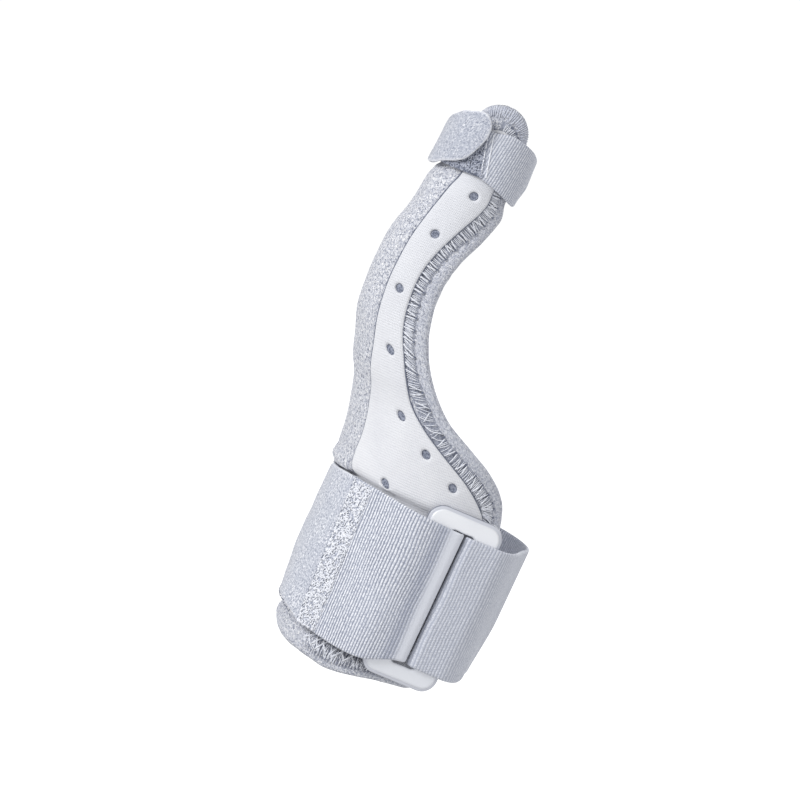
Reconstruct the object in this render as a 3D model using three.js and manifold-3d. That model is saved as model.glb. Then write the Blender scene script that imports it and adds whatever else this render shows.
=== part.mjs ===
// A thumb spica splint in the shape it has when it is worn. Millimetres, +Z along the forearm
// towards the hand, the front at -Y. The origin is the middle of the hollow for the wrist.
// Angles round the wrist and the thumb are in degrees: 0 at the front, 90 at the right (+X),
// -90 at the left, on the side of the thumb.

import * as THREE from 'three';
import { mergeVertices } from 'three/addons/utils/BufferGeometryUtils.js';
import Module from 'manifold-3d';

const wasm = await Module();
wasm.setup();

// Hollows for the wrist and the thumb, inside the padding
const wristWidth = 59.6;
const wristDepth = 49;
const thumbWidth = 20.4;
const thumbDepth = 19;

// Padded panel, from its hem below the wrist to its round end on the thumb
const endHeight = 163.9;
const hemDepth = 37.2;
const thumbSideways = 33.6;
const thumbForward = 20;
const panelThickness = 3.6;
const endRound = 11;
const hemCorner = 10;
const hemRise = 7;
const hemLowestAngle = -20;
const hemRiseAngle = 70;
const hemRiseFade = 26;
const hemRisePower = 1.25;
const hemDrawIn = 1.2;
const hemBulge = 1.3;
const hemBulgeRun = 2.5;

// The panel stands out where no strap presses on it
const looseBulge = 2;
const wristBulgeRun = 1.5;
const thumbBulgeRun = 6.5;

// Smooth cover strip on the panel, and its breathing holes
const coverThickness = 0.8;
const coverEndInset = 9.2;
const coverHemInset = 11;
const coverEndRound = 6;
const coverHemRound = 4;
const holeDiameter = 3;

// Wide elastic round the wrist and the tab at its free end
const wristStrapWidth = 52.4;
const wristStrapThickness = 1.4;
const wristTabThickness = 1.4;
const seamAngle = -49;
const wristTabEndAngle = -118;
const rightLandingAngle = 77;
const leftLandingAngle = -35;
const strapDrawIn = 2;
const strapDrawInFrom = 55;

// Narrow elastic round the thumb and its tab
const thumbStrapWidth = 19.7;
const thumbStrapThickness = 1.4;
const thumbStrapBelowEnd = 9.2;
const thumbStrapDrawIn = 1;
const thumbStrapDrawInFrom = 40;
const thumbTabThickness = 1.4;
const thumbTabWidth = 18.6;
const thumbTabStartAngle = -128;
const thumbTabEndAngle = -8;
const thumbTabRise = 3.6;

// Rectangular ring
const ringWidth = 28;
const ringThickness = 2.4;
const ringEndBar = 6.2;
const ringCorner = 5.5;
const ringEdgeRound = 0.8;
const slotWidth = 9;
const slotCorner = 1.6;
const ringAngle = 19.7;
const foldReach = 3.8;

// Clearances
const layerGap = 0.3;
const slotClearance = 0.5;

// Facet sizes
const rowStep = 4;
const panelColumns = 16;
const coverColumns = 9;
const roundSteps = 5;
const pathStep = 3;
const foldSteps = 8;
const loopSteps = 44;
const tabColumns = 22;
const tabRows = 4;
const holeSides = 16;

// Sizes that follow
const wristStrapTop = wristStrapWidth / 2;
const thumbStrapTop = endHeight - thumbStrapBelowEnd;
const thumbStrapBottom = thumbStrapTop - thumbStrapWidth;
const coverInner = panelThickness + layerGap;
const coverOuter = coverInner + coverThickness;
const strapSeat = coverOuter + layerGap;
const quarterTurn = Math.PI / 2;
const { degToRad, lerp, smoothstep } = THREE.MathUtils;

// The limb from the top of the wrist strap (at 0) to the bottom of the thumb strap (at 1), and on
// through the thumb strap. sideways and forward are shares of thumbSideways and thumbForward,
// taper goes from 0, the wrist's size, to 1, the thumb's. The edges are angles.
const limbColumns = [
  'at', 'sideways', 'forward', 'taper', 'panelLeft', 'coverLeft', 'coverRight', 'panelRight',
];
const limbRows = [
  [0.00, 0.00, 0.00, 0.00, -104, -53, 36, 49],
  [0.02, 0.07, 0.008, 0.008, -104.6, -52.7, 36.2, 50.8],
  [0.064, 0.125, 0.03, 0.03, -106, -52, 34, 53],
  [0.128, 0.18, 0.10, 0.087, -108, -50.5, 22.5, 52],
  [0.193, 0.247, 0.18, 0.153, -110, -50.5, 3.5, 40],
  [0.234, 0.315, 0.24, 0.23, -112, -50.8, -6.5, 28],
  [0.284, 0.42, 0.33, 0.32, -114, -49.5, -14, 14.5],
  [0.339, 0.57, 0.42, 0.398, -115, -46.5, -13.8, 10.9],
  [0.413, 0.74, 0.52, 0.526, -117, -42, -13, 9.8],
  [0.495, 0.90, 0.62, 0.643, -118, -38, -11.7, 13],
  [0.606, 0.997, 0.74, 0.76, -120, -37.3, -10.6, 15.8],
  [0.688, 1.033, 0.82, 0.82, -120, -35.4, -7, 21.5],
  [0.761, 1.045, 0.88, 0.867, -120, -33.8, 0, 31],
  [0.844, 1.03, 0.93, 0.918, -120, -31.5, 10, 46.5],
  [0.927, 1.012, 0.97, 0.954, -119, -27, 22, 59],
  [1.00, 1.00, 1.00, 1.00, -116, -23, 28, 65],
  [1.10, 1.00, 1.00, 1.00, -84, -21, 30, 59],
  [1.165, 1.00, 1.00, 1.00, -48, -20, 30, 51],
];

// Breathing holes: at as in the limb's table, and the angle
const holeRows = [
  { at: 0.962, angle: 5.5 },
  { at: 0.805, angle: -11.9 },
  { at: 0.604, angle: -23.5 },
  { at: 0.417, angle: -25 },
  { at: 0.243, angle: -22.5 },
  { at: 0.167, angle: -4.6 },
  { at: 0.105, angle: 14.1 },
  { at: 0.027, angle: -27.9 },
];

// The wrist strap's edges along its whole length, as shares of half its width
const wristStrapEdgeColumns = ['along', 'lower', 'upper'];
const wristStrapEdgeRows = [
  [0.00, -0.88, 0.93],
  [0.06, -0.90, 0.95],
  [0.12, -0.90, 0.96],
  [0.18, -0.82, 0.99],
  [0.24, -0.77, 1.00],
  [0.42, -0.84, 0.98],
  [0.55, -0.88, 0.94],
  [0.62, -0.85, 0.89],
  [0.75, -0.85, 0.92],
  [0.80, -0.88, 0.95],
  [0.84, -0.89, 0.96],
  [0.88, -1.03, 0.98],
  [0.93, -1.06, 0.995],
  [1.00, -1.03, 1.00],
];

// Where the strap's lower edge presses on the panel at its left side and at the front, as shares
// of half the strap's width
const pressedLeftShare = -0.9;
const pressedFrontShare = -1.06;

// The strap's facets across its width, as shares from its lower to its upper edge
const wristStrapRows = [0, 0.2, 0.5, 1];

// The strap's edges where it folds in the slot, as shares of half its width
const slotLowerShare = -0.91;
const slotUpperShare = 0.96;

// The wrist tab's edges from the seam to its end, as shares of half the wrist strap's width
const wristTabEdgeColumns = ['along', 'lower', 'upper'];
const wristTabEdgeRows = [
  [0.00, -1.02, 1.00],
  [0.14, -0.93, 0.99],
  [0.30, -0.88, 0.975],
  [0.58, -0.84, 0.94],
  [0.78, -0.74, 0.82],
  [0.92, -0.50, 0.56],
  [1.00, -0.18, 0.22],
];

// The thumb strap's edges once round from the front, as shares of its width
const thumbStrapEdgeColumns = ['around', 'lower', 'upper'];
const thumbStrapEdgeRows = [
  [0.00, -0.38, 0.44],
  [0.05, -0.44, 0.50],
  [0.10, -0.52, 0.46],
  [0.16, -0.62, 0.38],
  [0.25, -0.68, 0.24],
  [0.40, -0.64, 0.23],
  [0.50, -0.59, 0.24],
  [0.65, -0.50, 0.27],
  [0.75, -0.45, 0.30],
  [0.86, -0.43, 0.36],
  [0.95, -0.40, 0.41],
  [1.00, -0.38, 0.44],
];

// The thumb tab's edges from its hidden start to its round end, as shares of its width
const thumbTabEdgeColumns = ['along', 'lower', 'upper'];
const thumbTabEdgeRows = [
  [0.00, -0.42, 0.20],
  [0.08, -0.54, 0.28],
  [0.32, -0.575, 0.30],
  [0.545, -0.575, 0.37],
  [0.64, -0.545, 0.45],
  [0.74, -0.505, 0.49],
  [0.84, -0.435, 0.54],
  [0.906, -0.33, 0.54],
  [0.952, -0.15, 0.47],
  [0.986, 0.03, 0.37],
  [1.00, 0.15, 0.28],
];

// Reads a table at any place between its rows, along a smooth curve
function tableReader(columns, rows) {
  const places = rows.map((row) => row[0]);
  const values = rows.flatMap((row) => row.slice(1));
  const curve = new THREE.CubicInterpolant(places, values, columns.length - 1);
  return (place) => {
    const found = curve.evaluate(place);
    return Object.fromEntries(columns.slice(1).map((name, index) => [name, found[index]]));
  };
}

const limbAt = tableReader(limbColumns, limbRows);

function heightAt(share) {
  return lerp(wristStrapTop, thumbStrapBottom, share);
}

function sectionAt(height) {
  return limbAt((height - wristStrapTop) / (thumbStrapBottom - wristStrapTop));
}

const thumbStrapEdgesAt = tableReader(thumbStrapEdgeColumns, thumbStrapEdgeRows);

// The thumb strap's lower or upper edge at an angle, as a height
function thumbStrapEdge(angle, edge) {
  const around = (angle / 360 + 1) % 1;
  const middle = (thumbStrapBottom + thumbStrapTop) / 2;
  return middle + thumbStrapEdgesAt(around)[edge] * thumbStrapWidth;
}

// The height down to which the wrist strap and its tab press on the panel
function pressedDownTo(angle) {
  const towardsFront = smoothstep(angle, wristTabEndAngle, seamAngle);
  return lerp(pressedLeftShare, pressedFrontShare, towardsFront) * wristStrapTop;
}

// How far the fabric stands out where nothing presses on it, and is drawn in towards the hem
function bulgeAt(angle, height) {
  const pressedFrom = thumbStrapEdge(angle, 'lower');
  const pressedTo = pressedDownTo(angle);
  const aboveWristStrap = smoothstep(height, wristStrapTop, wristStrapTop + wristBulgeRun);
  const belowThumbStrap = 1 - smoothstep(height, pressedFrom - thumbBulgeRun, pressedFrom);
  const belowWristStrap = 1 - smoothstep(height, pressedTo - hemBulgeRun, pressedTo);
  const nearHem = 1 - smoothstep(height, -hemDepth, 0);
  return looseBulge * aboveWristStrap * belowThumbStrap
    + hemBulge * belowWristStrap - hemDrawIn * nearHem;
}

// A point on the limb, raised by an offset from the skin side of the padding
function limbPoint(angle, height, offset) {
  const section = sectionAt(height);
  const raised = offset + bulgeAt(angle, height);
  const halfWidth = lerp(wristWidth, thumbWidth, section.taper) / 2 + raised;
  const halfDepth = lerp(wristDepth, thumbDepth, section.taper) / 2 + raised;
  const turn = degToRad(angle);
  return new THREE.Vector3(
    -section.sideways * thumbSideways + halfWidth * Math.sin(turn),
    -section.forward * thumbForward - halfDepth * Math.cos(turn),
    height,
  );
}

// A closed body between two sheets of points. pointAt(column, row, side) gives side 1 as the
// outer sheet, columns to the right and rows upwards as seen from outside. A loop has no ends.
function sheetBody(columns, rows, pointAt, loop = false) {
  const positions = [];
  const triangles = [];
  const perSide = (columns + 1) * (rows + 1);
  for (let side = 0; side <= 1; side += 1) {
    for (let row = 0; row <= rows; row += 1) {
      for (let column = 0; column <= columns; column += 1) {
        const place = pointAt(loop ? column % columns : column, row, side);
        positions.push(place.x, place.y, place.z);
      }
    }
  }
  const corner = (column, row, side) => side * perSide + row * (columns + 1) + column;
  const quad = (a, b, c, d) => triangles.push(a, b, c, a, c, d);
  for (let row = 0; row < rows; row += 1) {
    for (let column = 0; column < columns; column += 1) {
      quad(corner(column, row, 1), corner(column + 1, row, 1),
        corner(column + 1, row + 1, 1), corner(column, row + 1, 1));
      quad(corner(column, row, 0), corner(column, row + 1, 0),
        corner(column + 1, row + 1, 0), corner(column + 1, row, 0));
    }
  }
  for (let column = 0; column < columns; column += 1) {
    quad(corner(column, 0, 0), corner(column + 1, 0, 0),
      corner(column + 1, 0, 1), corner(column, 0, 1));
    quad(corner(column, rows, 1), corner(column + 1, rows, 1),
      corner(column + 1, rows, 0), corner(column, rows, 0));
  }
  for (let row = 0; row < rows && !loop; row += 1) {
    quad(corner(0, row, 0), corner(0, row, 1),
      corner(0, row + 1, 1), corner(0, row + 1, 0));
    quad(corner(columns, row, 1), corner(columns, row, 0),
      corner(columns, row + 1, 0), corner(columns, row + 1, 1));
  }
  const geometry = new THREE.BufferGeometry();
  geometry.setAttribute('position', new THREE.Float32BufferAttribute(positions, 3));
  geometry.setIndex(triangles);
  return mergeVertices(geometry);
}

// Row heights shared by the panel and the cover, closer together in their rounded ends and
// where the fabric swells above the wrist strap
function rowHeights(bottom, top, lowerRound, upperRound) {
  const heights = [];
  for (let step = 0; step < roundSteps; step += 1) {
    heights.push(bottom + lowerRound * (1 - Math.cos(step / roundSteps * quarterTurn)));
  }
  const first = bottom + lowerRound;
  const last = top - upperRound;
  const closest = rowStep / 4;
  heights.push(first);
  const stepsBelow = Math.floor((wristStrapTop - first - closest) / rowStep);
  let height = wristStrapTop - stepsBelow * rowStep;
  while (height < last - closest) {
    heights.push(height);
    if (Math.abs(height - wristStrapTop) < closest) {
      heights.push(height + wristBulgeRun);
    }
    height += rowStep;
  }
  heights.push(last);
  for (let step = 1; step <= roundSteps; step += 1) {
    heights.push(last + upperRound * Math.sin(step / roundSteps * quarterTurn));
  }
  return heights;
}

// The span of angles of a strip at a height, narrowed where its corners are round
function roundedSpan(left, right, height, bottom, top, lowerRound, upperRound) {
  const tipShare = 0.16;
  const middle = (left + right) / 2;
  const intoEnd = Math.max(0, height - (top - upperRound)) / upperRound;
  const endShare = Math.max(tipShare, Math.sqrt(Math.max(0, 1 - intoEnd * intoEnd)));
  const intoHem = Math.max(0, bottom + lowerRound - height);
  const cut = lowerRound - Math.sqrt(Math.max(0, lowerRound * lowerRound - intoHem * intoHem));
  const cutAngle = THREE.MathUtils.radToDeg(cut / (wristWidth / 2));
  return {
    left: middle + (left - middle) * endShare + cutAngle,
    right: middle + (right - middle) * endShare - cutAngle,
  };
}

// The hem curves up to both sides from its lowest place
function hemLift(angle, height) {
  const away = Math.abs(angle - hemLowestAngle) / hemRiseAngle;
  const fade = 1 - smoothstep(height, -hemDepth, -hemDepth + hemRiseFade);
  return hemRise * Math.pow(away, hemRisePower) * fade;
}

function splintPanel() {
  const heights = rowHeights(-hemDepth, endHeight, hemCorner, endRound);
  const pointAt = (column, row, side) => {
    const height = heights[row];
    const edges = sectionAt(height);
    const span = roundedSpan(edges.panelLeft, edges.panelRight, height,
      -hemDepth, endHeight, hemCorner, endRound);
    const angle = lerp(span.left, span.right, column / panelColumns);
    return limbPoint(angle, height + hemLift(angle, height), side * panelThickness);
  };
  return sheetBody(panelColumns, heights.length - 1, pointAt);
}

function solidFrom(geometry) {
  const bare = geometry.clone();
  bare.deleteAttribute('normal');
  bare.deleteAttribute('uv');
  const welded = mergeVertices(bare);
  return new wasm.Manifold(new wasm.Mesh({
    numProp: 3,
    vertProperties: new Float32Array(welded.attributes.position.array),
    triVerts: new Uint32Array(welded.index.array),
  }));
}

function geometryFrom(solid) {
  const mesh = solid.getMesh();
  const geometry = new THREE.BufferGeometry();
  geometry.setAttribute('position', new THREE.BufferAttribute(mesh.vertProperties, 3));
  geometry.setIndex(new THREE.BufferAttribute(mesh.triVerts, 1));
  return geometry;
}

function holeCutter(row) {
  const height = heightAt(row.at);
  const inner = limbPoint(row.angle, height, 0);
  const outer = limbPoint(row.angle, height, coverOuter + panelThickness);
  const axis = outer.clone().sub(inner);
  const cutter = new THREE.CylinderGeometry(
    holeDiameter / 2, holeDiameter / 2, axis.length(), holeSides);
  const turn = new THREE.Quaternion().setFromUnitVectors(
    new THREE.Vector3(0, 1, 0), axis.clone().normalize());
  cutter.applyQuaternion(turn);
  const middle = inner.add(outer).multiplyScalar(0.5);
  cutter.translate(middle.x, middle.y, middle.z);
  return solidFrom(cutter);
}

function stayCover() {
  const bottom = -hemDepth + coverHemInset;
  const top = endHeight - coverEndInset;
  const heights = rowHeights(bottom, top, coverHemRound, coverEndRound);
  const pointAt = (column, row, side) => {
    const height = heights[row];
    const edges = sectionAt(height);
    const span = roundedSpan(edges.coverLeft, edges.coverRight, height,
      bottom, top, coverHemRound, coverEndRound);
    const angle = lerp(span.left, span.right, column / coverColumns);
    return limbPoint(angle, height, side === 1 ? coverOuter : coverInner);
  };
  let strip = solidFrom(sheetBody(coverColumns, heights.length - 1, pointAt));
  for (const row of holeRows) {
    strip = strip.subtract(holeCutter(row));
  }
  return geometryFrom(strip);
}

// The ring's place on the wrist: flat against the layer of strap that runs behind it
const innerLayer = strapSeat + wristStrapThickness / 2;
const outerLayer = innerLayer + wristStrapThickness + layerGap;
const ringStandoff = ringThickness / 2 + layerGap + wristStrapThickness / 2;

// How far the elastic is drawn in at a height, at the sides and the back of the wrist
function drawInAt(angle, height) {
  const side = smoothstep(Math.abs(angle), strapDrawInFrom, 90);
  const low = 1 - smoothstep(height, -wristStrapTop, 0);
  return strapDrawIn * side * low;
}

function wrapPoint(angle, offset) {
  const turn = degToRad(angle);
  return new THREE.Vector2(
    (wristWidth / 2 + offset) * Math.sin(turn),
    -(wristDepth / 2 + offset) * Math.cos(turn),
  );
}

function wrapDirection(angle, offset) {
  const turn = degToRad(angle);
  return new THREE.Vector2(
    (wristWidth / 2 + offset) * Math.cos(turn),
    (wristDepth / 2 + offset) * Math.sin(turn),
  );
}

const ringAlong = wrapDirection(ringAngle, innerLayer).normalize();
const ringOut = new THREE.Vector2(ringAlong.y, -ringAlong.x);
const ringTurn = Math.atan2(ringAlong.y, ringAlong.x);
const ringCentre = wrapPoint(ringAngle, innerLayer).addScaledVector(ringOut, ringStandoff);

const strapInSlot = (slotUpperShare - slotLowerShare) * wristStrapWidth / 2;
const ringRise = (slotUpperShare + slotLowerShare) / 2 * wristStrapWidth / 2;

function ringPoint(along, out) {
  return ringCentre.clone().addScaledVector(ringAlong, along).addScaledVector(ringOut, out);
}

// The angle of a point on the elastic, seen from above
function wrapAngle(point) {
  const across = point.x / (wristWidth / 2 + innerLayer);
  const forward = -point.y / (wristDepth / 2 + innerLayer);
  return THREE.MathUtils.radToDeg(Math.atan2(across, forward));
}

// The reach of each handle of a bend between the ring and the wrist, as a share of its span
const bendReach = 1 / 3;

// The middle line of the wrist strap, seen from above: a hem behind the ring's right bar, the
// fold round that bar, the way round the wrist, the fold in the slot, and back to the left
function wristStrapPath() {
  const path = new THREE.Path();
  const speed = wrapDirection(ringAngle, innerLayer).length();
  const angleAt = (along) => ringAngle + THREE.MathUtils.radToDeg(along / speed);
  const wrap = (offset, from, to, backwards) => path.absellipse(0, 0, wristWidth / 2 + offset,
    wristDepth / 2 + offset, degToRad(from - 90), degToRad(to - 90), backwards);
  const bend = (start, startWay, end, endWay) => path.bezierCurveTo(
    start.x + startWay.x, start.y + startWay.y, end.x - endWay.x, end.y - endWay.y, end.x, end.y);
  const barMiddle = ringWidth / 2 - ringThickness / 2;
  const rightFold = slotWidth / 2 + ringThickness / 2;
  const leftFold = foldReach - slotWidth / 2;

  wrap(innerLayer, angleAt(barMiddle), angleAt(rightFold + wristStrapThickness), true);
  const rightCentre = ringPoint(rightFold, 0);
  path.absarc(rightCentre.x, rightCentre.y, ringStandoff,
    ringTurn + quarterTurn, ringTurn + 3 * quarterTurn, false);
  const rightEdge = ringPoint(barMiddle, ringStandoff);
  path.lineTo(rightEdge.x, rightEdge.y);
  const rightLanding = wrapPoint(rightLandingAngle, innerLayer);
  const rightReach = rightEdge.distanceTo(rightLanding) * bendReach;
  bend(rightEdge, ringAlong.clone().multiplyScalar(rightReach), rightLanding,
    wrapDirection(rightLandingAngle, innerLayer).setLength(rightReach));
  wrap(innerLayer, rightLandingAngle, 360 + angleAt(leftFold), false);

  const leftCentre = ringPoint(leftFold, 0);
  path.absarc(leftCentre.x, leftCentre.y, ringStandoff,
    ringTurn + quarterTurn, ringTurn - quarterTurn, true);
  const leftEdge = ringPoint(-barMiddle, ringStandoff);
  path.lineTo(leftEdge.x, leftEdge.y);
  const leftLanding = wrapPoint(leftLandingAngle, outerLayer);
  const leftReach = leftEdge.distanceTo(leftLanding) * bendReach;
  bend(leftEdge, ringAlong.clone().multiplyScalar(-leftReach), leftLanding,
    wrapDirection(leftLandingAngle, outerLayer).setLength(-leftReach));
  wrap(outerLayer, leftLandingAngle, seamAngle, true);
  return path;
}

// Points along a path: steps of about pathStep, and at least foldSteps in each curved stretch
function pathPoints(path) {
  const shortest = 0.05;
  const points = [];
  for (const curve of path.curves) {
    const fewest = curve.isLineCurve ? 1 : foldSteps;
    const steps = Math.max(fewest, Math.ceil(curve.getLength() / pathStep));
    for (const point of curve.getPoints(steps)) {
      if (points.length === 0 || points.at(-1).distanceTo(point) > shortest) {
        points.push(point);
      }
    }
  }
  return points;
}

function wristStrap() {
  const points = pathPoints(wristStrapPath());
  const edgesAt = tableReader(wristStrapEdgeColumns, wristStrapEdgeRows);
  const lengths = [0];
  for (let index = 1; index < points.length; index += 1) {
    lengths.push(lengths.at(-1) + points[index].distanceTo(points[index - 1]));
  }
  const last = points.length - 1;
  const pointAt = (column, row, side) => {
    const before = points[Math.max(0, column - 1)];
    const after = points[Math.min(last, column + 1)];
    const way = after.clone().sub(before).normalize();
    const edges = edgesAt(lengths[column] / lengths[last]);
    const share = wristStrapRows[row];
    const height = lerp(edges.lower, edges.upper, share) * wristStrapTop;
    const angle = wrapAngle(points[column]);
    const out = (side - 0.5) * wristStrapThickness - drawInAt(angle, height);
    return new THREE.Vector3(
      points[column].x + way.y * out,
      points[column].y - way.x * out,
      height,
    );
  };
  return sheetBody(last, wristStrapRows.length - 1, pointAt);
}

function wristStrapTab() {
  const edgesAt = tableReader(wristTabEdgeColumns, wristTabEdgeRows);
  const inner = outerLayer - wristStrapThickness / 2;
  const seamGap = THREE.MathUtils.radToDeg(layerGap / (wristDepth / 2 + outerLayer));
  const pointAt = (column, row, side) => {
    const along = 1 - column / tabColumns;
    const angle = lerp(seamAngle - seamGap, wristTabEndAngle, along);
    const edges = edgesAt(along);
    const height = lerp(edges.lower, edges.upper, row / tabRows) * wristStrapTop;
    const offset = inner + side * wristTabThickness - drawInAt(angle, height);
    const place = wrapPoint(angle, offset);
    return new THREE.Vector3(place.x, place.y, height);
  };
  return sheetBody(tabColumns, tabRows, pointAt);
}

// A point round the thumb, where the thumb strap holds it. The strap is drawn in towards the tip
// of the thumb at its sides and its back.
function thumbPoint(angle, height, offset) {
  const away = Math.abs(THREE.MathUtils.euclideanModulo(angle + 180, 360) - 180);
  const side = smoothstep(away, thumbStrapDrawInFrom, 90);
  const up = (height - thumbStrapBottom) / thumbStrapWidth;
  const raised = offset - thumbStrapDrawIn * side * up;
  return limbPoint(angle, thumbStrapTop, raised).setZ(height);
}

function thumbStrap() {
  const pointAt = (column, row, side) => {
    const angle = column / loopSteps * 360;
    const height = thumbStrapEdge(angle, row === 0 ? 'lower' : 'upper');
    return thumbPoint(angle, height, strapSeat + side * thumbStrapThickness);
  };
  return sheetBody(loopSteps, 1, pointAt, true);
}

function thumbStrapTab() {
  const edgesAt = tableReader(thumbTabEdgeColumns, thumbTabEdgeRows);
  const inner = strapSeat + thumbStrapThickness + layerGap;
  const middle = (thumbStrapBottom + thumbStrapTop) / 2;
  const pointAt = (column, row, side) => {
    const along = column / tabColumns;
    const angle = lerp(thumbTabStartAngle, thumbTabEndAngle, along);
    const edges = edgesAt(along);
    const height = middle + thumbTabRise * along
      + lerp(edges.lower, edges.upper, row / tabRows) * thumbTabWidth;
    return thumbPoint(angle, height, inner + side * thumbTabThickness);
  };
  return sheetBody(tabColumns, tabRows, pointAt);
}

function roundedRectangle(Outline, width, height, corner) {
  const outline = new Outline();
  const across = width / 2 - corner;
  const up = height / 2 - corner;
  outline.absarc(across, up, corner, 0, quarterTurn, false);
  outline.absarc(-across, up, corner, quarterTurn, 2 * quarterTurn, false);
  outline.absarc(-across, -up, corner, 2 * quarterTurn, 3 * quarterTurn, false);
  outline.absarc(across, -up, corner, 3 * quarterTurn, 4 * quarterTurn, false);
  outline.closePath();
  return outline;
}

// The ring's outline lies in its own XY plane, with the front at its +Z
function wristRing() {
  const slotHeight = strapInSlot + 2 * slotClearance;
  const ringHeight = slotHeight + 2 * ringEndBar;
  const outline = roundedRectangle(THREE.Shape, ringWidth, ringHeight, ringCorner);
  outline.holes.push(roundedRectangle(THREE.Path, slotWidth, slotHeight, slotCorner));
  const depth = ringThickness - 2 * ringEdgeRound;
  const geometry = new THREE.ExtrudeGeometry(outline, {
    depth,
    bevelThickness: ringEdgeRound,
    bevelSize: ringEdgeRound,
    bevelOffset: -ringEdgeRound,
    bevelSegments: 2,
    curveSegments: 6,
  });
  return geometry.translate(0, 0, -depth / 2);
}

function fabric(color, roughness) {
  return new THREE.MeshStandardMaterial({ color, roughness, metalness: 0 });
}

const knit = fabric(0xbfc3ce, 0.95);
const smoothCover = fabric(0xe8eaf0, 0.8);
const elastic = fabric(0xb9bec9, 0.85);
const brushed = fabric(0xd0d3dc, 0.95);
const plastic = new THREE.MeshStandardMaterial({ color: 0xeef0f4, roughness: 0.4, metalness: 0 });

const group = new THREE.Group();

function addPiece(name, geometry, material, parent = group) {
  const piece = new THREE.Mesh(geometry, material);
  piece.name = name;
  parent.add(piece);
  return piece;
}

addPiece('splint_panel', splintPanel(), knit);
addPiece('stay_cover', stayCover(), smoothCover);
addPiece('thumb_strap', thumbStrap(), elastic);
addPiece('thumb_strap_tab', thumbStrapTab(), brushed);
addPiece('wrist_strap', wristStrap(), elastic);
addPiece('wrist_strap_tab', wristStrapTab(), brushed);

const ringHolder = new THREE.Group();
ringHolder.position.set(ringCentre.x, ringCentre.y, ringRise);
ringHolder.rotation.z = ringTurn;
group.add(ringHolder);
addPiece('wrist_ring', wristRing(), plastic, ringHolder).rotation.x = quarterTurn;

export default group;
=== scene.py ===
"""Looks of a thumb spica splint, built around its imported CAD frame.

Shapes are worked out in millimetres in the frame's own axes and written to Blender in metres.
Angles round the wrist and the thumb are in degrees: 0 at the front (-Y), 90 at the right (+X).
"""

import math

import bpy
import numpy as np
from mathutils import Matrix, Vector
from mathutils.geometry import delaunay_2d_cdt


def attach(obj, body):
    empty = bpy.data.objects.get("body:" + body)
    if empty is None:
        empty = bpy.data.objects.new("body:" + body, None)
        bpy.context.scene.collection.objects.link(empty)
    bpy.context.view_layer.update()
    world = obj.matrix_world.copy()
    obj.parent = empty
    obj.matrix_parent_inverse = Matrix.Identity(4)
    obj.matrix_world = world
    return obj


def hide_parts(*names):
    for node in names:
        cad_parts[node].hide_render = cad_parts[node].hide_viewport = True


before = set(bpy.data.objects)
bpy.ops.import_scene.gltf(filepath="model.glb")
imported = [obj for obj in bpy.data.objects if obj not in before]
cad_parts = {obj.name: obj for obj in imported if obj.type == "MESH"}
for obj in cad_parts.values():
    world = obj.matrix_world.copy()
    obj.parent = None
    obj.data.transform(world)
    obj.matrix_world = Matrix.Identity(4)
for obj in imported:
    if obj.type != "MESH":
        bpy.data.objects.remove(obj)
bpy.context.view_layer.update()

MM = 0.001
rng = np.random.default_rng(7)

# The same named sizes as in the part's source, in millimetres
WRIST = (59.6, 49.0)
THUMB = (20.4, 19.0)
END_HEIGHT = 163.9
HEM_DEPTH = 37.2
THUMB_SIDEWAYS = 33.6
THUMB_FORWARD = 20.0
PANEL_THICK = 3.6
END_ROUND = 11.0
HEM_CORNER = 10.0
HEM_RISE = 7.0
HEM_RISE_POWER = 1.25
HEM_LOWEST_ANGLE = -20.0
HEM_RISE_ANGLE = 70.0
HEM_RISE_FADE = 26.0
HEM_DRAW_IN = 1.2
HEM_BULGE = 1.3
HEM_BULGE_RUN = 2.5
LOOSE_BULGE = 2.0
WRIST_BULGE_RUN = 1.5
THUMB_BULGE_RUN = 6.5
COVER_THICK = 0.8
COVER_END_INSET = 9.2
COVER_HEM_INSET = 11.0
COVER_END_ROUND = 6.0
COVER_HEM_ROUND = 4.0
HOLE_RADIUS = 1.5
STRAP_WIDTH = 52.4
STRAP_THICK = 1.4
SEAM_ANGLE = -49.0
TAB_END_ANGLE = -118.0
RIGHT_LANDING = 77.0
LEFT_LANDING = -35.0
DRAW_IN = 2.0
DRAW_IN_FROM = 55.0
THUMB_STRAP_WIDTH = 19.7
THUMB_STRAP_BELOW_END = 9.2
THUMB_DRAW_IN = 1.0
THUMB_DRAW_IN_FROM = 40.0
THUMB_TAB_WIDTH = 18.6
THUMB_TAB_ANGLES = (-128.0, -8.0)
THUMB_TAB_RISE = 3.6
RING_WIDTH = 28.0
RING_THICK = 2.4
RING_END_BAR = 6.2
RING_CORNER = 5.5
SLOT_WIDTH = 9.0
SLOT_CORNER = 1.6
RING_ANGLE = 19.7
FOLD_REACH = 3.8
LAYER_GAP = 0.3
SLOT_CLEARANCE = 0.5

STRAP_TOP = STRAP_WIDTH / 2
THUMB_STRAP_TOP = END_HEIGHT - THUMB_STRAP_BELOW_END
THUMB_STRAP_BOTTOM = THUMB_STRAP_TOP - THUMB_STRAP_WIDTH
THUMB_STRAP_MIDDLE = (THUMB_STRAP_TOP + THUMB_STRAP_BOTTOM) / 2
COVER_OUTER = PANEL_THICK + LAYER_GAP + COVER_THICK
STRAP_SEAT = COVER_OUTER + LAYER_GAP
INNER_LAYER = STRAP_SEAT + STRAP_THICK / 2
OUTER_LAYER = INNER_LAYER + STRAP_THICK + LAYER_GAP

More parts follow.
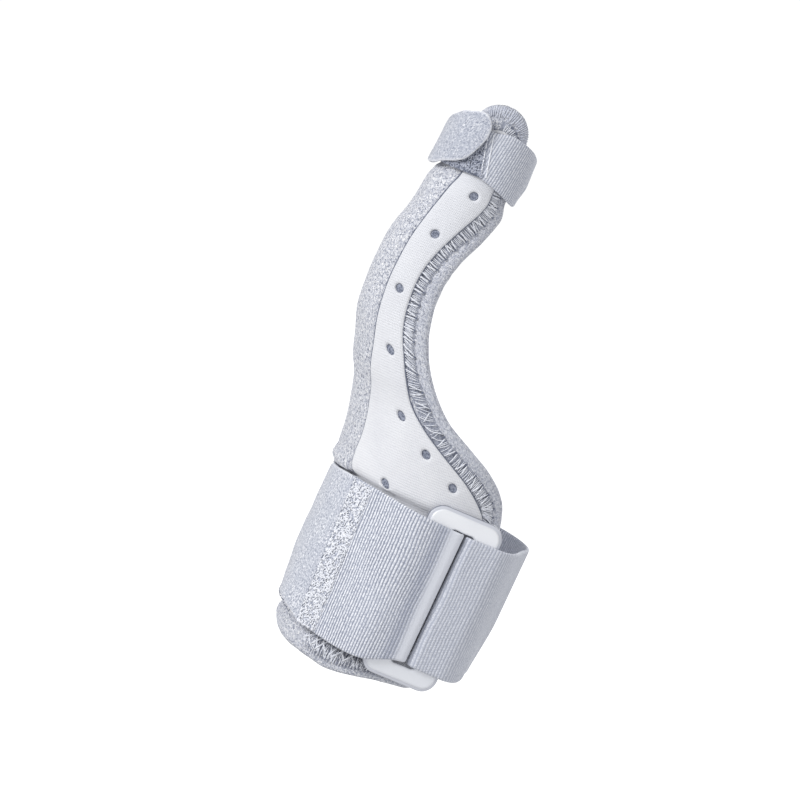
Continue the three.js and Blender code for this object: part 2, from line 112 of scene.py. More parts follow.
# at, sideways, forward, taper, panel left, cover left, cover right, panel right
LIMB_ROWS = [
    [0.00, 0.00, 0.00, 0.00, -104, -53, 36, 49],
    [0.02, 0.07, 0.008, 0.008, -104.6, -52.7, 36.2, 50.8],
    [0.064, 0.125, 0.03, 0.03, -106, -52, 34, 53],
    [0.128, 0.18, 0.10, 0.087, -108, -50.5, 22.5, 52],
    [0.193, 0.247, 0.18, 0.153, -110, -50.5, 3.5, 40],
    [0.234, 0.315, 0.24, 0.23, -112, -50.8, -6.5, 28],
    [0.284, 0.42, 0.33, 0.32, -114, -49.5, -14, 14.5],
    [0.339, 0.57, 0.42, 0.398, -115, -46.5, -13.8, 10.9],
    [0.413, 0.74, 0.52, 0.526, -117, -42, -13, 9.8],
    [0.495, 0.90, 0.62, 0.643, -118, -38, -11.7, 13],
    [0.606, 0.997, 0.74, 0.76, -120, -37.3, -10.6, 15.8],
    [0.688, 1.033, 0.82, 0.82, -120, -35.4, -7, 21.5],
    [0.761, 1.045, 0.88, 0.867, -120, -33.8, 0, 31],
    [0.844, 1.03, 0.93, 0.918, -120, -31.5, 10, 46.5],
    [0.927, 1.012, 0.97, 0.954, -119, -27, 22, 59],
    [1.00, 1.00, 1.00, 1.00, -116, -23, 28, 65],
    [1.10, 1.00, 1.00, 1.00, -84, -21, 30, 59],
    [1.165, 1.00, 1.00, 1.00, -48, -20, 30, 51],
]
PANEL_LEFT, COVER_LEFT, COVER_RIGHT, PANEL_RIGHT = 3, 4, 5, 6
# at, angle
HOLES = [
    (0.962, 5.5), (0.805, -11.9), (0.604, -23.5), (0.417, -25.0),
    (0.243, -22.5), (0.167, -4.6), (0.105, 14.1), (0.027, -25.8),
]
# at, lower edge, upper edge: the straps' and the tabs' edges as shares of their widths
WRIST_STRAP_EDGES = [
    [0.00, -0.88, 0.93], [0.06, -0.90, 0.95], [0.12, -0.90, 0.96], [0.18, -0.82, 0.99],
    [0.24, -0.77, 1.00], [0.42, -0.84, 0.98], [0.55, -0.88, 0.94], [0.62, -0.85, 0.89],
    [0.75, -0.85, 0.92], [0.80, -0.88, 0.95], [0.84, -0.89, 0.96], [0.88, -1.03, 0.98],
    [0.93, -1.06, 0.995], [1.00, -1.03, 1.00],
]
SLOT_LOWER, SLOT_UPPER = -0.91, 0.96
PRESSED_LEFT, PRESSED_FRONT = -0.9, -1.06
WRIST_TAB_EDGES = [
    [0.00, -1.02, 1.00], [0.14, -0.93, 0.99], [0.30, -0.88, 0.975], [0.58, -0.84, 0.94],
    [0.78, -0.74, 0.82], [0.92, -0.50, 0.56], [1.00, -0.18, 0.22],
]
THUMB_STRAP_EDGES = [
    [0.00, -0.38, 0.44], [0.05, -0.44, 0.50], [0.10, -0.52, 0.46], [0.16, -0.62, 0.38],
    [0.25, -0.68, 0.24], [0.40, -0.64, 0.23], [0.50, -0.59, 0.24], [0.65, -0.50, 0.27],
    [0.75, -0.45, 0.30], [0.86, -0.43, 0.36], [0.95, -0.40, 0.41], [1.00, -0.38, 0.44],
]
THUMB_TAB_EDGES = [
    [0.00, -0.42, 0.20], [0.08, -0.54, 0.28], [0.32, -0.575, 0.30], [0.545, -0.575, 0.37],
    [0.64, -0.545, 0.45], [0.74, -0.505, 0.49], [0.84, -0.435, 0.54], [0.906, -0.33, 0.54],
    [0.952, -0.15, 0.47], [0.986, 0.03, 0.37], [1.00, 0.15, 0.28],
]

# Where the worn splint leaves its solids
# amount, middle, width of a soft hump
HEM_SAG = (1.1, -58, 20)
HEM_TUG = (0.9, 12, 16)
HEM_SWELL = (0.5, -55, 24)
LEFT_SWELL = (1.1, 54, 9)
UPPER_WAIST = (1.0, 122, 9)
LOOP_TUG = (0.9, 100, 26)
# Single amounts, in millimetres
END_SINK = 0.8
FOLD_TUCK = 1.5
# The wrist strap's free end is askew: the lower the place, the further right the strap ends
END_LEAN = 0.06
# The thumb strap lies tucked in at its lower right, and its tab's round end is lifted
LOOP_TUCK = 1.9
THUMB_TAB_LIFT = 1.0
# The ring's slot ends lower than in the solid
SLOT_TIGHTER = 0.4

# Places along the panel's rim, from the hem's left end, and inwards from it
STITCH = 4.2
RIM_ROLL = 5.0
SEAM_INNER = 11.0
HEM_GATHERS_FROM = 24.0
HEM_CROSSES = (28.0, 47.0)
HEM_SEAM_END = 68.0
DENSE_UNTIL = 190.0
# Above this height the rim is the round end's
END_SEAM_FROM = 147.0
HEM_CROSS_STEP = 3.3
HEM_THREADS = 150
NEEDLE_HOLE_RADII = (0.46, 0.30)
# The threads that wrap the round end: their step, and the share of the end that they cover
END_WRAP_STEP = 1.02
END_WRAP_SHARE = 0.62

# Ribs and stitches of the elastic
RIB_PITCH = 1.14
RIB_RELIEF = 0.20
BAND_WIDTH = 8.4
BAND_THREADS = 1150
TAB_STITCH_ANGLE = 1.9
THUMB_PITCH = 0.92
THUMB_RIB_RELIEF = 0.06
THUMB_RIB_LEAN = 0.46
# Degrees that the seam of the thumb strap leans with each millimetre up
THUMB_SEAM_LEAN = 0.9
PILE_LOOPS = 300


# Curves and the limb's surface
def read_table(rows, at):
    """The table's columns at each place, along the smooth curve that the part's source uses."""
    rows = np.asarray(rows, float)
    places, values = rows[:, 0], rows[:, 1:]
    at = np.clip(np.asarray(at, float), places[0], places[-1])
    last = len(places) - 1
    i1 = np.clip(np.searchsorted(places, at, side="right"), 1, last)
    i0 = i1 - 1
    t0, t1 = places[i0], places[i1]
    first, final = i0 == 0, i1 == last
    before = np.where(first, i1, np.maximum(i0 - 1, 0))
    after = np.where(final, i0, np.minimum(i1 + 1, last))
    half = (t1 - t0) / 2
    wp = half / (t0 - places[before])
    wn = half / (places[after] - t1)
    p = (at - t0) / (t1 - t0)
    pp, ppp = p * p, p * p * p
    weights = (
        -wp * ppp + 2 * wp * pp - wp * p,
        (1 + wp) * ppp + (-1.5 - 2 * wp) * pp + (-0.5 + wp) * p + 1,
        (-1 - wn) * ppp + (1.5 + wn) * pp + 0.5 * p,
        wn * ppp - wn * pp,
    )
    found = sum(w[..., None] * values[i] for w, i in zip(weights, (before, i0, i1, after)))
    return np.moveaxis(found, -1, 0)


def smooth(value, low, high):
    """0 below low, 1 above high, and an even rise between them."""
    share = np.clip((np.asarray(value, float) - low) / (high - low), 0, 1)
    return share * share * (3 - 2 * share)


def fall(value, low, high):
    """1 below low, 0 above high, and an even fall between them."""
    return 1 - smooth(value, low, high)


def lerp(a, b, share):
    return a + (b - a) * share


def hump(value, amount, middle, width):
    """The amount at the middle, and softly less away from it."""
    return amount * np.exp(-((value - middle) / width) ** 2)


def unit(vector):
    return vector / np.linalg.norm(vector)


def circle(count):
    """Points once round a circle of radius 1, counter-clockwise."""
    turns = np.linspace(0, 2 * np.pi, count, endpoint=False)
    return np.stack([np.cos(turns), np.sin(turns)], axis=-1)


def on_line(at, places, line):
    """The line's points at some of the places along it."""
    return np.stack([np.interp(at, places, column) for column in line.T], axis=-1)


def at_height(flat, height):
    """Places seen from above, put at their heights."""
    return np.concatenate([flat, height[..., None]], axis=-1)


def away(angle):
    """The level direction out of the limb at an angle."""
    turn = np.radians(angle)
    return np.stack([np.sin(turn), -np.cos(turn), np.zeros_like(turn)], axis=-1)


def height_at(share):
    return lerp(STRAP_TOP, THUMB_STRAP_BOTTOM, share)


def section_at(height):
    return read_table(LIMB_ROWS, (height - STRAP_TOP) / (THUMB_STRAP_BOTTOM - STRAP_TOP))


def thumb_strap_edges(angle):
    """Heights of the thumb strap's lower and upper edges."""
    lower, upper = read_table(THUMB_STRAP_EDGES, (np.asarray(angle, float) / 360) % 1)
    return THUMB_STRAP_MIDDLE + lower * THUMB_STRAP_WIDTH, THUMB_STRAP_MIDDLE + upper * THUMB_STRAP_WIDTH


def bulge_at(angle, height):
    """How far the cloth stands off where no strap presses on it."""
    pressed = thumb_strap_edges(angle)[0]
    above = smooth(height, STRAP_TOP, STRAP_TOP + WRIST_BULGE_RUN)
    below = fall((height - pressed) / THUMB_BULGE_RUN, -1, 0)
    pressed_to = STRAP_TOP * lerp(PRESSED_LEFT, PRESSED_FRONT, smooth(angle, TAB_END_ANGLE, SEAM_ANGLE))
    under_strap = fall((height - pressed_to) / HEM_BULGE_RUN, -1, 0)
    near_hem = fall(height, -HEM_DEPTH, 0)
    return LOOSE_BULGE * above * below + HEM_BULGE * under_strap - HEM_DRAW_IN * near_hem


def limb(angle, height, offset):
    """Points on the limb, raised by an offset from the padding's skin side."""
    angle, height, offset = np.broadcast_arrays(angle, height, offset)
    section = section_at(height)
    raised = offset + bulge_at(angle, height)
    half_width = lerp(WRIST[0], THUMB[0], section[2]) / 2 + raised
    half_depth = lerp(WRIST[1], THUMB[1], section[2]) / 2 + raised
    turn = np.radians(angle)
    return np.stack([
        -section[0] * THUMB_SIDEWAYS + half_width * np.sin(turn),
        -section[1] * THUMB_FORWARD - half_depth * np.cos(turn),
        height,
    ], axis=-1)


def hem_lift(angle, height):
    """How much higher the hem is at an angle than at its lowest place."""
    from_lowest = np.abs(angle - HEM_LOWEST_ANGLE) / HEM_RISE_ANGLE
    # The hem sags a little on the left and is drawn up beside the ring
    rise = HEM_RISE * from_lowest ** HEM_RISE_POWER - hump(angle, *HEM_SAG) + hump(angle, *HEM_TUG)
    return rise * fall(height, -HEM_DEPTH, -HEM_DEPTH + HEM_RISE_FADE)


def panel_point(angle, height, offset):
    """A point of the panel. Its round end is worn a little lower than the solid's."""
    sunk_height = height - END_SINK * smooth(height, END_HEIGHT - 20, END_HEIGHT)
    return limb(angle, sunk_height + hem_lift(angle, height), offset)


NARROWEST_END = 0.16


def rounded_span(left, right, height, bottom, top, lower_round, upper_round):
    """The span of angles of a strip at each height, narrowed where its corners are round."""
    middle = (left + right) / 2
    into_end = np.clip((height - (top - upper_round)) / upper_round, 0, 1)
    end_share = np.maximum(NARROWEST_END, np.sqrt(1 - into_end**2))
    into_hem = np.clip(bottom + lower_round - height, 0, lower_round)
    cut = lower_round - np.sqrt(lower_round**2 - into_hem**2)
    cut_angle = np.degrees(cut / (WRIST[0] / 2))
    return (middle + (left - middle) * end_share + cut_angle,
            middle + (right - middle) * end_share - cut_angle)


def strip_heights(bottom, top, lower_round, upper_round, step, end_steps):
    """Heights of a strip's rows, closer together in its round ends."""
    turn = np.linspace(0, np.pi / 2, end_steps + 1)
    low = bottom + lower_round * (1 - np.cos(turn))
    high = top - upper_round * (1 - np.sin(turn))
    count = max(2, round((high[0] - low[-1]) / step))
    return np.concatenate([low[:-1], np.linspace(low[-1], high[0], count + 1), high[1:]])


def eased(count, ends=3):
    """Shares from 0 to 1 with steps that shrink towards both ends."""
    inner = np.linspace(0, 1, count - 2 * ends + 1)
    first = inner[1] * (1 - np.cos(np.linspace(0, np.pi / 2, ends + 2)))
    return np.concatenate([first[:-1], inner[1:-1], 1 - first[:-1][::-1]])


def dome(distance, radius):
    """A rim's round profile: 0 on the border and 1 from radius inwards."""
    share = np.clip(np.asarray(distance, float) / radius, 0, 1)
    return np.sqrt(1 - (1 - share) ** 2)


WAVES = 9


def wave_noise(u, v, scale, seed):
    """Smooth made-up unevenness between -1 and 1, the same each run."""
    draw = np.random.default_rng(seed)
    total = np.zeros(np.broadcast(u, v).shape)
    for _ in range(WAVES):
        turn, phase = draw.uniform(0, 2 * np.pi, 2)
        rate = draw.uniform(0.55, 1.6) / scale
        total += np.sin((u * np.cos(turn) + v * np.sin(turn)) * rate * 2 * np.pi + phase)
    return total * 2 / WAVES


# Meshes
def mesh_object(name, points, faces, attributes=None, smooth_faces=True):
    """A mesh object from points in millimetres."""
    mesh = bpy.data.meshes.new(name)
    mesh.from_pydata((np.asarray(points) * MM).tolist(), [], [tuple(map(int, f)) for f in faces])
    for key, values in (attributes or {}).items():
        attribute = mesh.attributes.new(key, "FLOAT_VECTOR", "POINT")
        attribute.data.foreach_set("vector", np.asarray(values, np.float32).ravel())
    mesh.polygons.foreach_set("use_smooth", [smooth_faces] * len(mesh.polygons))
    mesh.validate()
    mesh.update()
    piece = bpy.data.objects.new(name, mesh)
    bpy.context.scene.collection.objects.link(piece)
    return piece


def pillow(name, outer, inner, attributes=None, loop=False):
    """A closed body between two grids of points (rows, columns, 3) that meet on their border.

    Columns run to the right and rows upwards as seen from outside. A loop closes its columns.
    """
    rows, columns = outer.shape[:2]
    number = np.arange(rows * columns).reshape(rows, columns)
    border = np.zeros((rows, columns), bool)
    border[0] = border[-1] = True
    if not loop:
        border[:, 0] = border[:, -1] = True
    under = number.copy()
    under[~border] = rows * columns + np.arange(int((~border).sum()))
    points = np.concatenate([outer.reshape(-1, 3), inner[~border]])
    extra = {}
    for key, (top, low) in (attributes or {}).items():
        extra[key] = np.concatenate([top.reshape(-1, 3), low[~border]])
    faces = []
    for ids, way in ((number, 1), (under, -1)):
        right = np.roll(ids, -1, axis=1)
        a, b, c, d = ids[:-1], right[:-1], right[1:], ids[1:]
        quads = np.stack([a, b, c, d][::way], axis=-1)
        if not loop:
            quads = quads[:, :-1]
        faces.append(quads.reshape(-1, 4))
    return mesh_object(name, points, np.concatenate(faces), extra)


def between(here, ahead):
    """Faces between two closed loops of point numbers."""
    return np.stack([here, np.roll(here, -1), np.roll(ahead, -1), ahead], axis=-1).tolist()


THREAD_TIP = 0.55


def threads(name, lines, radius, facing, sides=5):
    """Round threads along lines of points, as one mesh with closed, tapered ends.

    facing gives for each line the direction out of the fabric.
    """
    points, faces = [], []
    base = 0
    radii = np.broadcast_to(radius, (len(lines),))
    for index, line in enumerate(lines):
        along = np.gradient(line, axis=0)
        along /= np.linalg.norm(along, axis=1)[:, None] + 1e-12
        across = np.cross(along, np.broadcast_to(facing[index], line.shape))
        across /= np.linalg.norm(across, axis=1)[:, None] + 1e-12
        up = np.cross(across, along)
        size = np.full(len(line), radii[index])
        size[0] = size[-1] = radii[index] * THREAD_TIP
        ring = line[:, None] + size[:, None, None] * (circle(sides) @ np.stack([across, up], axis=1))
        count = len(line)
        points.append(ring.reshape(-1, 3))
        ids = base + np.arange(count * sides).reshape(count, sides)
        ahead = np.roll(ids, -1, axis=1)
        quads = np.stack([ids[:-1], ids[1:], ahead[1:], ahead[:-1]], axis=-1)
        faces.extend(quads.reshape(-1, 4).tolist())
        faces.append(ids[0].tolist())
        faces.append(ids[-1][::-1].tolist())
        base += count * sides
    return mesh_object(name, np.concatenate(points), faces)


def discs(name, centres, outs, radii, sides=10, thick=0.1):
    """Small flat discs that face outwards, each a closed body, as one mesh."""
    points, faces = [], []
    for centre, facing, radius in zip(centres, outs, radii):
        side = unit(np.cross(facing, (0.0, 0.0, 1.0)))
        up = np.cross(side, facing)
        front = len(points) * sides + np.arange(sides)
        back = front + sides
        edge = centre + radius * circle(sides) @ np.stack([side, up])
        points.extend([edge, edge - thick * facing])
        faces.extend([front[::-1].tolist(), back.tolist()] + between(front, back))
    return mesh_object(name, np.concatenate(points), faces, smooth_faces=False)


def finish_piece(piece, material, slot, *nodes):
    """Gives a piece its material and says where it belongs."""
    piece.data.materials.append(material)
    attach(piece, "root")
    if nodes:
        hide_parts(*nodes)


# Materials
def linear(*rgb):
    """The linear colour of sRGB steps of 0 to 255."""
    share = np.array(rgb, float) / 255
    low = share / 12.92
    high = ((share + 0.055) / 1.055) ** 2.4
    return (*np.where(share <= 0.04045, low, high), 1.0)


class Surface:
    """A procedural material and short ways to add its nodes. Colours are in sRGB steps of 0 to 255."""

    def __init__(self, name, roughness, sheen=0.0, specular=0.5, coat=0.0):
        self.material = bpy.data.materials.new(name)
        self.material.use_nodes = True
        self.tree = self.material.node_tree
        self.shader = self.tree.nodes["Principled BSDF"]
        self.shader.inputs["Roughness"].default_value = roughness
        self.shader.inputs["Sheen Weight"].default_value = sheen
        self.shader.inputs["Sheen Roughness"].default_value = 0.5
        self.shader.inputs["Specular IOR Level"].default_value = specular
        self.shader.inputs["Coat Weight"].default_value = coat
        self.shader.inputs["Coat Roughness"].default_value = 0.15
        self.bump_out = None

    def node(self, kind, inputs=(), **settings):
        made = self.tree.nodes.new(kind)
        for key, value in settings.items():
            setattr(made, key, value)
        for key, value in dict(inputs).items():
            self.put(made.inputs[key], value)
        return made

    def put(self, socket, value):
        if isinstance(value, bpy.types.NodeSocket):
            self.tree.links.new(value, socket)
        else:
            socket.default_value = linear(*value) if isinstance(value, tuple) else value

    def math(self, operation, *values):
        made = self.node("ShaderNodeMath", operation=operation)
        for index, value in enumerate(values):
            self.put(made.inputs[index], value)
        return made.outputs[0]

    def times(self, product, *others):
        for other in others:
            product = self.math("MULTIPLY", product, other)
        return product

    def less(self, value):
        """What the value leaves of 1."""
        return self.math("SUBTRACT", 1.0, value)

    def attribute(self, name):
        """The three parts of a vector that the mesh carries at its points."""
        made = self.node("ShaderNodeAttribute", attribute_name=name)
        parts = self.node("ShaderNodeSeparateXYZ", {0: made.outputs["Vector"]})
        return parts.outputs[0], parts.outputs[1], parts.outputs[2]

    def place(self):
        return self.node("ShaderNodeTexCoord").outputs["Object"]

    def noise(self, vector, scale, detail=2.0, roughness=0.5, distortion=0.0):
        return self.node("ShaderNodeTexNoise", {
            "Vector": vector, "Scale": scale, "Detail": detail,
            "Roughness": roughness, "Distortion": distortion}).outputs[0]

    def grain(self, x, y, per_x, per_y, *settings):
        """Noise on flat cloth, with its own fineness each way."""
        flat = self.node("ShaderNodeCombineXYZ", {0: self.times(x, per_x), 1: self.times(y, per_y)})
        return self.noise(flat.outputs[0], 1.0, *settings)

    def cells(self, vector, scale):
        return self.node("ShaderNodeTexVoronoi", {"Vector": vector, "Scale": scale}).outputs["Distance"]

    def ramp(self, factor, *stops):
        """Colours along a factor: stops are (place, colour)."""
        made = self.node("ShaderNodeValToRGB", {0: factor})
        elements = made.color_ramp.elements
        while len(elements) < len(stops):
            elements.new(0.5)
        for element, (place, colour) in zip(elements, stops):
            element.position = place
            element.color = linear(*colour)
        return made.outputs[0]

    def step(self, value, low, high, start=0.0, end=1.0):
        """An even change from start to end while the value goes from low to high."""
        made = self.node("ShaderNodeMapRange", {
            0: value, 1: low, 2: high, 3: start, 4: end}, interpolation_type="SMOOTHSTEP")
        return made.outputs[0]

    def fall(self, value, low, high):
        return self.step(value, low, high, 1.0, 0.0)

    def mix(self, factor, a, b):
        made = self.node("ShaderNodeMix", data_type="RGBA")
        self.put(made.inputs[0], factor)
        self.put(made.inputs[6], a)
        self.put(made.inputs[7], b)
        return made.outputs[2]

    def colour(self, socket):
        self.put(self.shader.inputs["Base Color"], socket)

    def bump(self, height, distance):
        """Adds a relief of that many millimetres."""
        made = self.node("ShaderNodeBump", {"Strength": 1.0, "Distance": distance * MM, "Height": height})
        if self.bump_out is not None:
            self.tree.links.new(self.bump_out, made.inputs["Normal"])
        self.bump_out = made.outputs[0]
        self.put(self.shader.inputs["Normal"], self.bump_out)


def knit_material():
    """Heather knit of the padded panel. cloth is (round, up, 0); rim is (along, inwards, seam)."""
    s = Surface("heather_knit", 0.95, sheen=0.25, specular=0.2)
    round_, up, _ = s.attribute("cloth")
    along, inwards, seam = s.attribute("rim")
    marl = s.grain(round_, up, 1.55, 1.25, 3.0, 0.66, 0.9)
    fine = s.grain(round_, up, 3.4, 3.0, 2.0, 0.6, 0.4)
    mottled = s.ramp(marl, (0.37, (84, 91, 116)), (0.45, (178, 183, 198)),
                     (0.54, (228, 230, 237)), (0.61, (254, 254, 255)))
    fleck = s.ramp(fine, (0.40, (122, 129, 149)), (0.51, (208, 211, 221)),
                   (0.61, (250, 250, 253)))
    body = s.mix(0.3, mottled, fleck)
    hem = s.fall(along, HEM_SEAM_END - 8, HEM_SEAM_END)
    rim = s.mix(s.math("MULTIPLY_ADD", hem, -0.2, 0.4), body, (190, 194, 207))
    outer_rim = s.fall(inwards, 4.4, 5.6)
    plain = s.mix(outer_rim, body, rim)
    # Painted shade under the seam's threads, darkest at the pins of its outer row
    in_seam = s.times(s.step(inwards, 4.9, 5.5), s.fall(inwards, 10.6, 11.4))
    pin = s.math("COSINE", s.times(along, 2 * math.pi / STITCH))
    at_pin = s.times(s.step(pin, 0.5, 0.95), s.fall(inwards, 6.4, 9.0))
    patchy = s.step(fine, 0.3, 0.7, 1.0, 0.45)
    under_seam_shade = s.mix(s.times(at_pin, 0.8), (140, 146, 164), (78, 84, 102))
    seam_shade_share = s.times(in_seam, seam, patchy, s.less(hem))
    # Fine upright gathers on the right half of the hem, with painted shade in their troughs
    gather = s.math("SINE", s.math("MULTIPLY_ADD", along, 2 * math.pi / 1.05, s.times(fine, 7.0)))
    right_half = s.step(along, HEM_GATHERS_FROM, HEM_GATHERS_FROM + 9)
    gathered = s.times(hem, right_half, s.step(inwards, 1.6, 3.0), s.fall(inwards, 9.0, 11.0))
    lines = s.times(gathered, s.step(gather, -0.3, 0.8, 0.85, 0.05))
    gather_shaded = s.mix(lines, plain, (104, 110, 130))
    s.colour(s.mix(seam_shade_share, gather_shaded, under_seam_shade))
    s.bump(s.times(gather, gathered), 0.12)
    # Columns of knitted loops
    wales = s.math("SINE", s.times(round_, 2 * math.pi / 0.95))
    lean = s.times(s.math("ABSOLUTE", wales), 0.55)
    loops = s.math("SINE", s.times(s.math("ADD", up, lean), 2 * math.pi / 0.8))
    s.bump(s.math("ADD", s.times(wales, 0.4), s.times(loops, 0.5)), 0.05)
    s.bump(marl, 0.42)
    s.bump(fine, 0.16)
    return s.material


def cover_material():
    """Smooth pale cover with a very fine weave."""
    s = Surface("smooth_cover", 0.72, sheen=0.1, specular=0.3)
    round_, up, _ = s.attribute("cloth")
    cloud = s.grain(round_, up, 0.09, 0.05, 3.0, 0.55)
    grain = s.grain(round_, up, 3.1, 3.1, 2.0, 0.5)
    pale = s.ramp(cloud, (0.35, (219, 220, 225)), (0.65, (226, 227, 231)))
    base = s.mix(s.step(up, 40, 135, 0.0, 0.6), pale, (209, 211, 217))
    uneven = s.times(grain, 3.0)
    slant = s.math("ADD", s.times(round_, 5.4), s.math("MULTIPLY_ADD", up, 3.2, uneven))
    other = s.math("SUBTRACT", s.times(round_, 5.9), s.math("MULTIPLY_ADD", up, 4.3, uneven))
    weave = s.times(s.math("SINE", slant), s.math("SINE", other))
    s.colour(s.mix(s.step(weave, -0.2, 0.9, 0.0, 0.36), base, (186, 190, 202)))
    s.bump(weave, 0.05)
    s.bump(grain, 0.07)
    return s.material


def elastic_material(name, rib_shade, bead, rough_dark, rough_light):
    """Ribbed elastic, with painted shade in its rib valleys and painted light on its crests. cloth is (rib
    phase in turns, up, 1 where the ribs end and the fold is painted light); zone is (1 on a rough patch,
    how far the ribs fade, 1 where painted shade of a soft crease falls)."""
    s = Surface(name, 0.85, sheen=0.3, specular=0.25)
    phase, up, calm = s.attribute("cloth")
    rough, fade, crease_shade = s.attribute("zone")
    waver = s.grain(phase, up, 0.5, 0.45, 2.0, 0.5)
    turn = s.math("MULTIPLY_ADD", phase, 2 * math.pi, s.math("MULTIPLY_ADD", waver, 2.4, -1.2))
    crest = s.math("MULTIPLY_ADD", s.math("COSINE", turn), 0.5, 0.5)
    odd = s.times(s.math("FLOOR", s.math("ADD", phase, 0.5)), 0.5)
    row = s.math("ADD", s.math("DIVIDE", up, bead), odd)
    bead_wave = s.math("MULTIPLY_ADD", s.math("COSINE", s.times(row, 2 * math.pi)), 0.5, 0.5)
    scatter = s.grain(phase, up, 1.3, 1.1, 3.0, 0.6, 0.4)
    broad = s.grain(phase, up, 0.10, 0.05, 2.0, 0.5)
    # Rib valleys are painted dark and crests light: painted shade and light of the ribs, over their bump
    valley = s.ramp(broad, (0.35, (102, 109, 130)), (0.65, (126, 133, 152)))
    ridge = s.ramp(scatter, (0.34, (180, 185, 199)), (0.58, (240, 242, 248)))
    shade = s.times(s.step(crest, 0.08, 0.62), s.less(s.times(bead_wave, 0.15)))
    ribbed = s.mix(s.math("MULTIPLY_ADD", shade, rib_shade, 1 - rib_shade), valley, ridge)
    evened = s.mix(fade, ribbed, (190, 194, 206))
    # The smooth fold has no rib valleys and is also painted lighter: a painted highlight where it catches
    # the light
    fold = s.mix(calm, evened, (214, 217, 226))
    looped = s.ramp(scatter, (0.4, rough_dark), (0.6, rough_light))
    # Painted shade of a soft crease beside the fold
    crease_shaded = s.mix(s.times(crease_shade, 0.5), fold, (140, 146, 164))
    s.colour(s.mix(rough, crease_shaded, looped))
    ribbed_crest = s.times(crest, s.less(calm))
    s.bump(s.times(ribbed_crest, bead_wave), -0.10)
    s.bump(ribbed_crest, 0.10)
    s.bump(scatter, 0.10)
    return s.material


def brushed_material(name, shade_share, slant):
    """Pale brushed tab with a short, slanting nap and a painted highlight along its rim. cloth is (round,
    up, 1 on the rim, where the highlight is painted).
    """
    s = Surface(name, 0.95, sheen=0.5, specular=0.15)
    round_, up, rim = s.attribute("cloth")
    slanted = s.math("MULTIPLY_ADD", up, -slant, round_)
    nap = s.grain(slanted, up, 2.2, 1.3, 3.0, 0.75, 0.5)
    lines = s.grain(slanted, up, 1.0, 0.12, 2.0, 0.5)
    cloud = s.grain(round_, up, 0.12, 0.12, 2.0, 0.5)
    base = s.ramp(nap, (0.38, (112, 119, 140)), (0.5, (194, 198, 209)),
                  (0.61, (246, 247, 251)))
    striped = s.mix(s.step(lines, 0.40, 0.60, 0.42, 0.0), base, (166, 172, 187))
    clouded = s.mix(s.step(cloud, 0.35, 0.7, 0.22, 0.0), striped, (196, 200, 211))
    # The second argument darkens the whole tab: painted shade
    shaded = s.mix(shade_share, clouded, (112, 118, 136))
    # Painted highlight along the rim
    s.colour(s.mix(s.times(rim, 0.65), shaded, (232, 234, 241)))
    s.bump(nap, 0.22)
    s.bump(lines, 0.12)
    return s.material


def thread_material(name, light, dark):
    """Twisted thread, too fine to show more than a change of shade."""
    s = Surface(name, 0.7, sheen=0.2, specular=0.35)
    twist = s.noise(s.place(), 2600.0, 2.0, 0.6)
    s.colour(s.ramp(twist, (0.35, dark), (0.65, light)))
    s.bump(twist, 0.05)
    return s.material


def plastic_material():
    """Satin white plastic with painted shade: greyer towards its lower end and on its bevel, and a dark
    painted-shadow line on its outer side. cloth is (distance from the outer edge, 0, 0).
    """
    s = Surface("ring_plastic", 0.33, specular=0.5, coat=0.25)
    inset, _, _ = s.attribute("cloth")
    place = s.place()
    cloud = s.noise(place, 45.0, 2.0, 0.5)
    speck = s.noise(place, 900.0, 3.0, 0.6)
    height = s.node("ShaderNodeSeparateXYZ", {0: place}).outputs[2]
    # Painted shade: greyer towards the ring's lower end
    low = s.step(height, -0.034, 0.0, 0.55, 0.0)
    white = s.ramp(cloud, (0.35, (222, 224, 230)), (0.65, (230, 232, 237)))
    face = s.mix(low, white, (205, 209, 218))
    # Painted shade on the bevel
    bevel_shaded = s.mix(s.step(inset, 1.05, 1.35, 0.8, 0.0), face, (190, 193, 204))
    # Painted shadow along the outer side, where the ring meets the cloth
    s.colour(s.mix(s.step(inset, 0.0, 0.30, 0.85, 0.0), bevel_shaded, (96, 101, 117)))
    s.put(s.shader.inputs["Roughness"], s.step(speck, 0.3, 0.7, 0.30, 0.40))
    s.bump(speck, 0.012)
    return s.material


def hole_shade_material():
    """Painted shade in the breathing holes: a dark net that stands for their shaded bottom."""
    s = Surface("hole_shade_backing", 0.9, specular=0.1)
    net = s.cells(s.place(), 1500.0)
    s.colour(s.ramp(net, (0.2, (92, 98, 114)), (0.7, (150, 155, 170))))
    s.bump(net, 0.08)
    return s.material


knit = knit_material()
cover_cloth = cover_material()
wide_elastic = elastic_material("wide_elastic", 0.9, 0.9, (150, 156, 173), (214, 217, 226))
# The thumb loop's rough patch is darker than the wide strap's: partly its own tone and partly painted
# shadow of the thumb tab over it
thumb_elastic = elastic_material("thumb_elastic", 0.9, 0.75, (84, 90, 108), (150, 156, 172))
wrist_brushed = brushed_material("wrist_brushed", 0.0, 0.0)
# The thumb tab's copy is darkened by painted shade
thumb_brushed = brushed_material("thumb_brushed", 0.2, 0.35)
pale_thread = thread_material("pale_thread", (244, 245, 250), (214, 218, 227))
rim_thread = thread_material("rim_thread", (245, 247, 252), (198, 202, 214))
knit_thread = thread_material("knit_thread", (214, 217, 226), (168, 173, 188))
pile_thread = thread_material("pile_thread", (196, 200, 212), (132, 138, 156))
# Dark thread, also used as painted shade: in needle holes, under the tab's lower edge and along the cover's
# edges
dark_thread_and_shade = thread_material("dark_thread_and_shade", (112, 118, 136), (84, 90, 108))
plastic = plastic_material()
painted_hole_shade = hole_shade_material()


